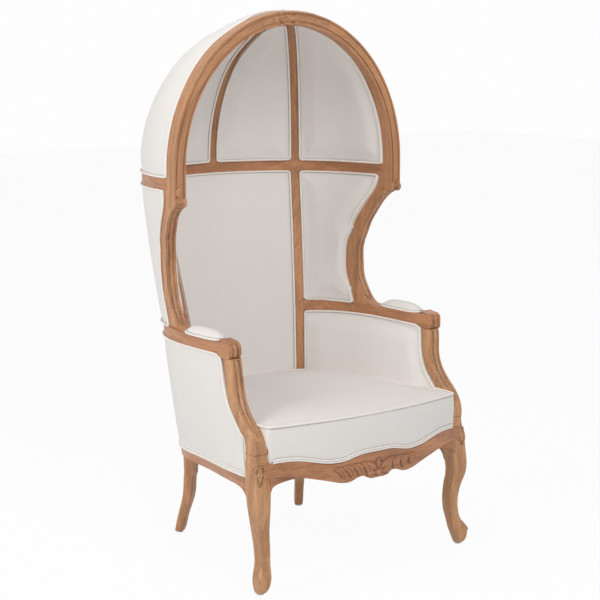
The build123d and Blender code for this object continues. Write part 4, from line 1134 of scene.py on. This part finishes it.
class CHAIR_OT_oak(bpy.types.Operator):
    """The waxed oak of the show-wood frame, its grain along each piece"""

    bl_idname = "chair.oak"
    bl_label = "Oak frame"

    def execute(self, context):
        wood = {
            "oak_upright": ["rear_post", "wing_post"],
            "oak_jointed": ["front_leg", "arm_post"],
            "oak_across": ["front_rail", "back_rail", "springing_rail_back", "crown_block",
                           "corner_blocks"],
            "oak_back": ["side_rail", "arm", "springing_rail_left", "springing_rail_right"],
            "oak_arched": ["hoop", "dome_rib"],
        }
        for finish, names in wood.items():
            for node, cad in nodes.items():
                if node in names or node.rsplit("_", 1)[0] in names:
                    cad.data.materials.clear()
                    cad.data.materials.append(bpy.data.materials[finish])
        return {"FINISHED"}


class CHAIR_OT_fixings(bpy.types.Operator):
    """The dowels, the block screws and the glides under the feet"""

    bl_idname = "chair.fixings"
    bl_label = "Fixings"

    def execute(self, context):
        steel, nylon = (0.62, 0.6, 0.56), (0.78, 0.77, 0.74)
        finishes = {
            "dowels": oak("dowel_wood", "across"),
            "corner_block_screws": hard(
                "screw_steel", steel, (300, 300, 300), 2.0, 0.7, 0.3, 0.2, metallic=1.0),
            "glides": hard("glide_nylon", nylon, (400, 400, 900), 3.0, 0.8, 0.35, 0.3),
        }
        for node, material in finishes.items():
            nodes[node].data.materials.clear()
            nodes[node].data.materials.append(material)
        return {"FINISHED"}


class CHAIR_OT_underside(bpy.types.Operator):
    """The webbing under the seat and the dust cover below it"""

    bl_idname = "chair.underside"
    bl_label = "Underside"

    def execute(self, context):
        sheet = stretched("dust_cover", "dust_lining", downward, 0.0, 0.05, pitch=0.03)
        points = points_of(sheet.data)
        low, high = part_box("dust_cover")
        middle, half = (low.y + high.y) / 2, (high.y - low.y) / 2
        slack = np.clip(1 - (points[:, 0] / high.x) ** 2, 0, 1)
        slack *= np.clip(1 - ((points[:, 1] - middle) / half) ** 2, 0, 1)
        points[:, 2] -= context.scene.chair_sizes.sag * slack
        move_to(sheet.data, points)
        dressed(sheet, "lining_weave", "lining", "dust_cover")
        webbing = copied("seat_webbing", "seat_straps")
        smooth(webbing, 30)
        dressed(webbing, "webbing_weave", "webbing", "seat_webbing")
        return {"FINISHED"}


class CHAIR_OT_pads(bpy.types.Operator):
    """The stuffed panels inside the frame and the hood"""

    bl_idname = "chair.pads"
    bl_label = "Inner pads"

    def execute(self, context):
        panels = (
            ("inner_back_pad", into_room, 0.09),
            ("inner_wing_pad_right", into_room, 0.06),
            ("inner_arm_pad_right", into_room, 0.06),
            ("dome_back_pad_right", into_hood, 0.06),
            ("dome_side_pad_right", into_hood, 0.06),
        )
        for node, facing, reach in panels:
            pad = swollen(node, node.replace("pad", "upholstery"), facing,
                          context.scene.chair_sizes.swell, reach)
            dressed(pad, "linen_weave", "linen", node, fill=0.85)
        return {"FINISHED"}


class CHAIR_OT_seat(bpy.types.Operator):
    """The boxed seat with its crowned top"""

    bl_idname = "chair.seat"
    bl_label = "Seat"

    def execute(self, context):
        crown = context.scene.chair_sizes.crown
        seat = swollen("seat_foam", "seat_upholstery", upward, crown, 0.16)
        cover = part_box("seat_foam")[0].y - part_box("seat_cover")[0].y
        move_to(seat.data, points_of(seat.data) + points_of(seat.data, "normal") * cover)
        lower_seat(seat)
        points = points_of(seat.data)
        in_corner = (np.abs(points[:, 0]) > corner_x) & (points[:, 1] < corner_y)
        corners = seat.vertex_groups.new(name="corners")
        corners.add([int(i) for i in np.flatnonzero(in_corner)], 1, "REPLACE")
        modify(seat, "corners", "SMOOTH", factor=0.5, iterations=16, use_z=False,
               vertex_group="corners")
        dressed(seat, "linen_weave", "linen", "seat_foam", "seat_cover", fill=0.8)
        return {"FINISHED"}


class CHAIR_OT_arm_pads(bpy.types.Operator):
    """The domed pads on the arms"""

    bl_idname = "chair.arm_pads"
    bl_label = "Arm pads"

    def execute(self, context):
        swell = context.scene.chair_sizes.arm_swell
        pad = swollen("arm_pad_right", "arm_upholstery_right", upward, swell, 0.02,
                      voxel=0.0035, seam_side=downward)
        dressed(pad, "linen_weave", "linen", "arm_pad_right", fill=0.9)
        return {"FINISHED"}


class CHAIR_OT_covers(bpy.types.Operator):
    """The cloth stretched over the outside of the frame"""

    bl_idname = "chair.covers"
    bl_label = "Outer covers"

    def execute(self, context):
        panels = (
            ("outer_back_cover", out_of_room),
            ("outer_wing_cover_right", out_of_room),
            ("outer_arm_cover_right", out_of_room),
            ("outer_dome_cover_right", out_of_hood),
        )
        for node, facing in panels:
            panel = stretched(node, node.replace("cover", "cloth"), facing,
                              context.scene.chair_sizes.cover_swell, 0.07)
            dressed(panel, "linen_weave", "linen", node, fill=0.9)
        return {"FINISHED"}


class CHAIR_OT_piping(bpy.types.Operator):
    """The piping sewn round every panel, and the double welts along the rails"""

    bl_idname = "chair.piping"
    bl_label = "Piping"

    def execute(self, context):
        panels = {
            into_room: ("inner_back_pad", "inner_wing_pad_right", "inner_arm_pad_right"),
            into_hood: ("dome_back_pad_right", "dome_side_pad_right"),
            out_of_room: ("outer_back_cover", "outer_wing_cover_right",
                          "outer_arm_cover_right"),
            out_of_hood: ("outer_dome_cover_right",),
        }
        for facing, names in panels.items():
            for node in names:
                sewn_on(piping(node, facing))
        sewn_on(piping("arm_pad_right", downward, rise=-0.9, shift=-0.6, valley=(0.1, -2.1),
                       shown=0.8))
        seat = piping("seat_cover", upward, rise=-0.1, shift=-0.4, valley=(-0.2, -1.25),
                      soften=10, shown=0.5)
        for piece in seat:
            lower_seat(piece)
        sewn_on(seat)

        step, off = 0.006, 0.1
        line = border("front_rail", "seat_cover", np.arange(-leg_low.x, leg_low.x, step),
                      lambda x, z: (x, rail_low.y - off, z), from_front,
                      rail_low.z, seat_z - 0.02)
        sewn_on(double_welt("seat_front", line, from_front))
        line = border("side_rail_right", "outer_arm_cover_right",
                      np.arange(side_low.y, side_high.y, step),
                      lambda y, z: (side_high.x + off, y, z), from_right,
                      side_low.z, side_high.z + 0.06)
        sewn_on(double_welt("outer_arm_right", line, from_right))
        return {"FINISHED"}


class CHAIR_OT_legs(bpy.types.Operator):
    """The front legs with their scrolled toes"""

    bl_idname = "chair.legs"
    bl_label = "Front legs"

    def execute(self, context):
        leg = shaped_leg("front_leg_right", "carved_leg_right")
        dressed(leg, "oak_jointed", "oak", "front_leg_right")
        return {"FINISHED"}


class CHAIR_OT_carving(bpy.types.Operator):
    """The carved foliage on the front rail, the knees, the toes and the hoop"""

    bl_idname = "chair.carving"
    bl_label = "Carving"

    def execute(self, context):
        depth = context.scene.chair_sizes.carving_depth
        rail = (0, rail_low.y - 0.01, (rail_low.z + rail_high.z) / 2)
        knee = (leg_high.x - 0.027, leg_low.y + 0.03, leg_high.z - 0.05)
        toe = (*knee[:2], floor_z + 0.056)
        crown = (0, hoop_low.y, hoop_high.z - 0.019)
        foot = (hoop_high.x - 0.016, hoop_low.y, hoop_low.z + 0.018)
        front = (1, 0, 0)
        works = (
            (["front_rail"], "front_rail_carving", rail, front,
             (0.34, rail_high.z - rail_low.z), spray, 1, broad_step, "oak_carved"),
            (["front_leg_right"], "knee_carving_right", knee, (1, 0.75, 0),
             (0.05, 0.09), cartouche, 0.55, fine_step, "oak_carved_upright"),
            (["carved_leg_right"], "toe_carving_right", toe, (1, 0.9, 0),
             (0.04, 0.044), toe_leaves, 0.4, fine_step, "oak_carved_upright"),
            (["hoop_left", "hoop_right"], "crest_carving", crown, front,
             (0.11, 0.04), crest, 0.6, broad_step, "oak_carved_hoop"),
            (["hoop_right"], "hoop_scroll_right", foot, front,
             (0.034, 0.076), ear, 0.6, fine_step, "oak_carved_wing"),
        )
        for names, name, middle, right, size, form, share, step, finish in works:
            work = relief(names, name, middle, right, size, form, depth * share, step)
            dressed(work, finish, "oak")
        return {"FINISHED"}


class CHAIR_OT_mouldings(bpy.types.Operator):
    """The beads up the arm posts, the hand-holds and the wing posts"""

    bl_idname = "chair.mouldings"
    bl_label = "Mouldings"

    def execute(self, context):
        hand_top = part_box("arm_right")[1].z
        strips = (
            ("arm_post_right", "arm_post_moulding_right", post_low.z + 0.045,
             post_high.z - 0.002, 0.92, 0.09, "oak_carved_upright"),
            ("arm_right", "hand_moulding_right", post_high.z + 0.002,
             hand_top - 0.008, 0.8, 0, "oak_carved_hand"),
            ("wing_post_right", "wing_moulding_right", wing_low.z + 0.012,
             wing_high.z - 0.006, 0.9, 0.02, "oak_carved_wing"),
        )
        for node, name, low, high, share, point, finish in strips:
            dressed(moulding(node, name, low, high, share, point), finish, "oak")
        return {"FINISHED"}


class CHAIR_OT_brackets(bpy.types.Operator):
    """The hollow-cut blocks that lead the rails into the front legs"""

    bl_idname = "chair.brackets"
    bl_label = "Knee brackets"

    def execute(self, context):
        thick, off = 0.022, 0.05
        joints = (
            ("front", "front_rail", "oak_across", from_front, leg_low.x + 0.006, -1, 0.11,
             rail_low.y - off, leg_low.y + 0.012, lambda a, z, deep: (a, deep, z)),
            ("side", "side_rail_right", "oak_back", from_right, leg_high.y - 0.002, 1, 0.05,
             side_high.x + off, leg_high.x - 0.014, lambda a, z, deep: (deep, a, z)),
        )
        for name, rail, finish, toward, corner, way, reach, eye, near, place_of in joints:
            run = np.linspace(0, reach, 15)
            under = under_edge(surface_of(rail), lambda a, z: place_of(a, z, eye), toward,
                               corner + way * run, rail_low.z - 0.02, rail_high.z)
            outline = hollow_outline(corner, way, reach, run, under)
            far = near + thick * (toward.x + toward.y)
            block = bracket(f"{name}_bracket_right", outline, place_of, near, far)
            dressed(block, finish, "oak")
        return {"FINISHED"}


class CHAIR_PT_panel(bpy.types.Panel):
    """The chair's own panel in the sidebar"""

    bl_label = "Hall porter chair"
    bl_idname = "CHAIR_PT_panel"
    bl_space_type = "VIEW_3D"
    bl_region_type = "UI"
    bl_category = "Chair"

    def draw(self, context):
        for group in (context.scene.chair_sizes, context.scene.chair_colours):
            for name in group.bl_rna.properties.keys():
                if name not in ("rna_type", "name"):
                    self.layout.prop(group, name)
        for operator in operators:
            self.layout.operator(operator.bl_idname)


operators = (
    CHAIR_OT_finishes, CHAIR_OT_stage, CHAIR_OT_oak, CHAIR_OT_fixings, CHAIR_OT_underside,
    CHAIR_OT_pads, CHAIR_OT_seat, CHAIR_OT_arm_pads, CHAIR_OT_covers, CHAIR_OT_piping,
    CHAIR_OT_legs, CHAIR_OT_carving, CHAIR_OT_mouldings, CHAIR_OT_brackets,
)
classes = (ChairSizes, ChairColours, *operators, CHAIR_PT_panel)


def register():
    for each in classes:
        bpy.utils.register_class(each)
    bpy.types.Scene.chair_sizes = bpy.props.PointerProperty(type=ChairSizes)
    bpy.types.Scene.chair_colours = bpy.props.PointerProperty(type=ChairColours)


def unregister():
    del bpy.types.Scene.chair_colours
    del bpy.types.Scene.chair_sizes
    for each in reversed(classes):
        bpy.utils.unregister_class(each)


def main():
    register()
    bpy.ops.chair.finishes()
    bpy.ops.chair.stage()
    bpy.ops.chair.oak()
    bpy.ops.chair.fixings()
    bpy.ops.chair.underside()
    bpy.ops.chair.pads()
    bpy.ops.chair.seat()
    bpy.ops.chair.arm_pads()
    bpy.ops.chair.covers()
    bpy.ops.chair.piping()
    bpy.ops.chair.legs()
    bpy.ops.chair.carving()
    bpy.ops.chair.mouldings()
    bpy.ops.chair.brackets()


if __name__ == "__main__":
    main()
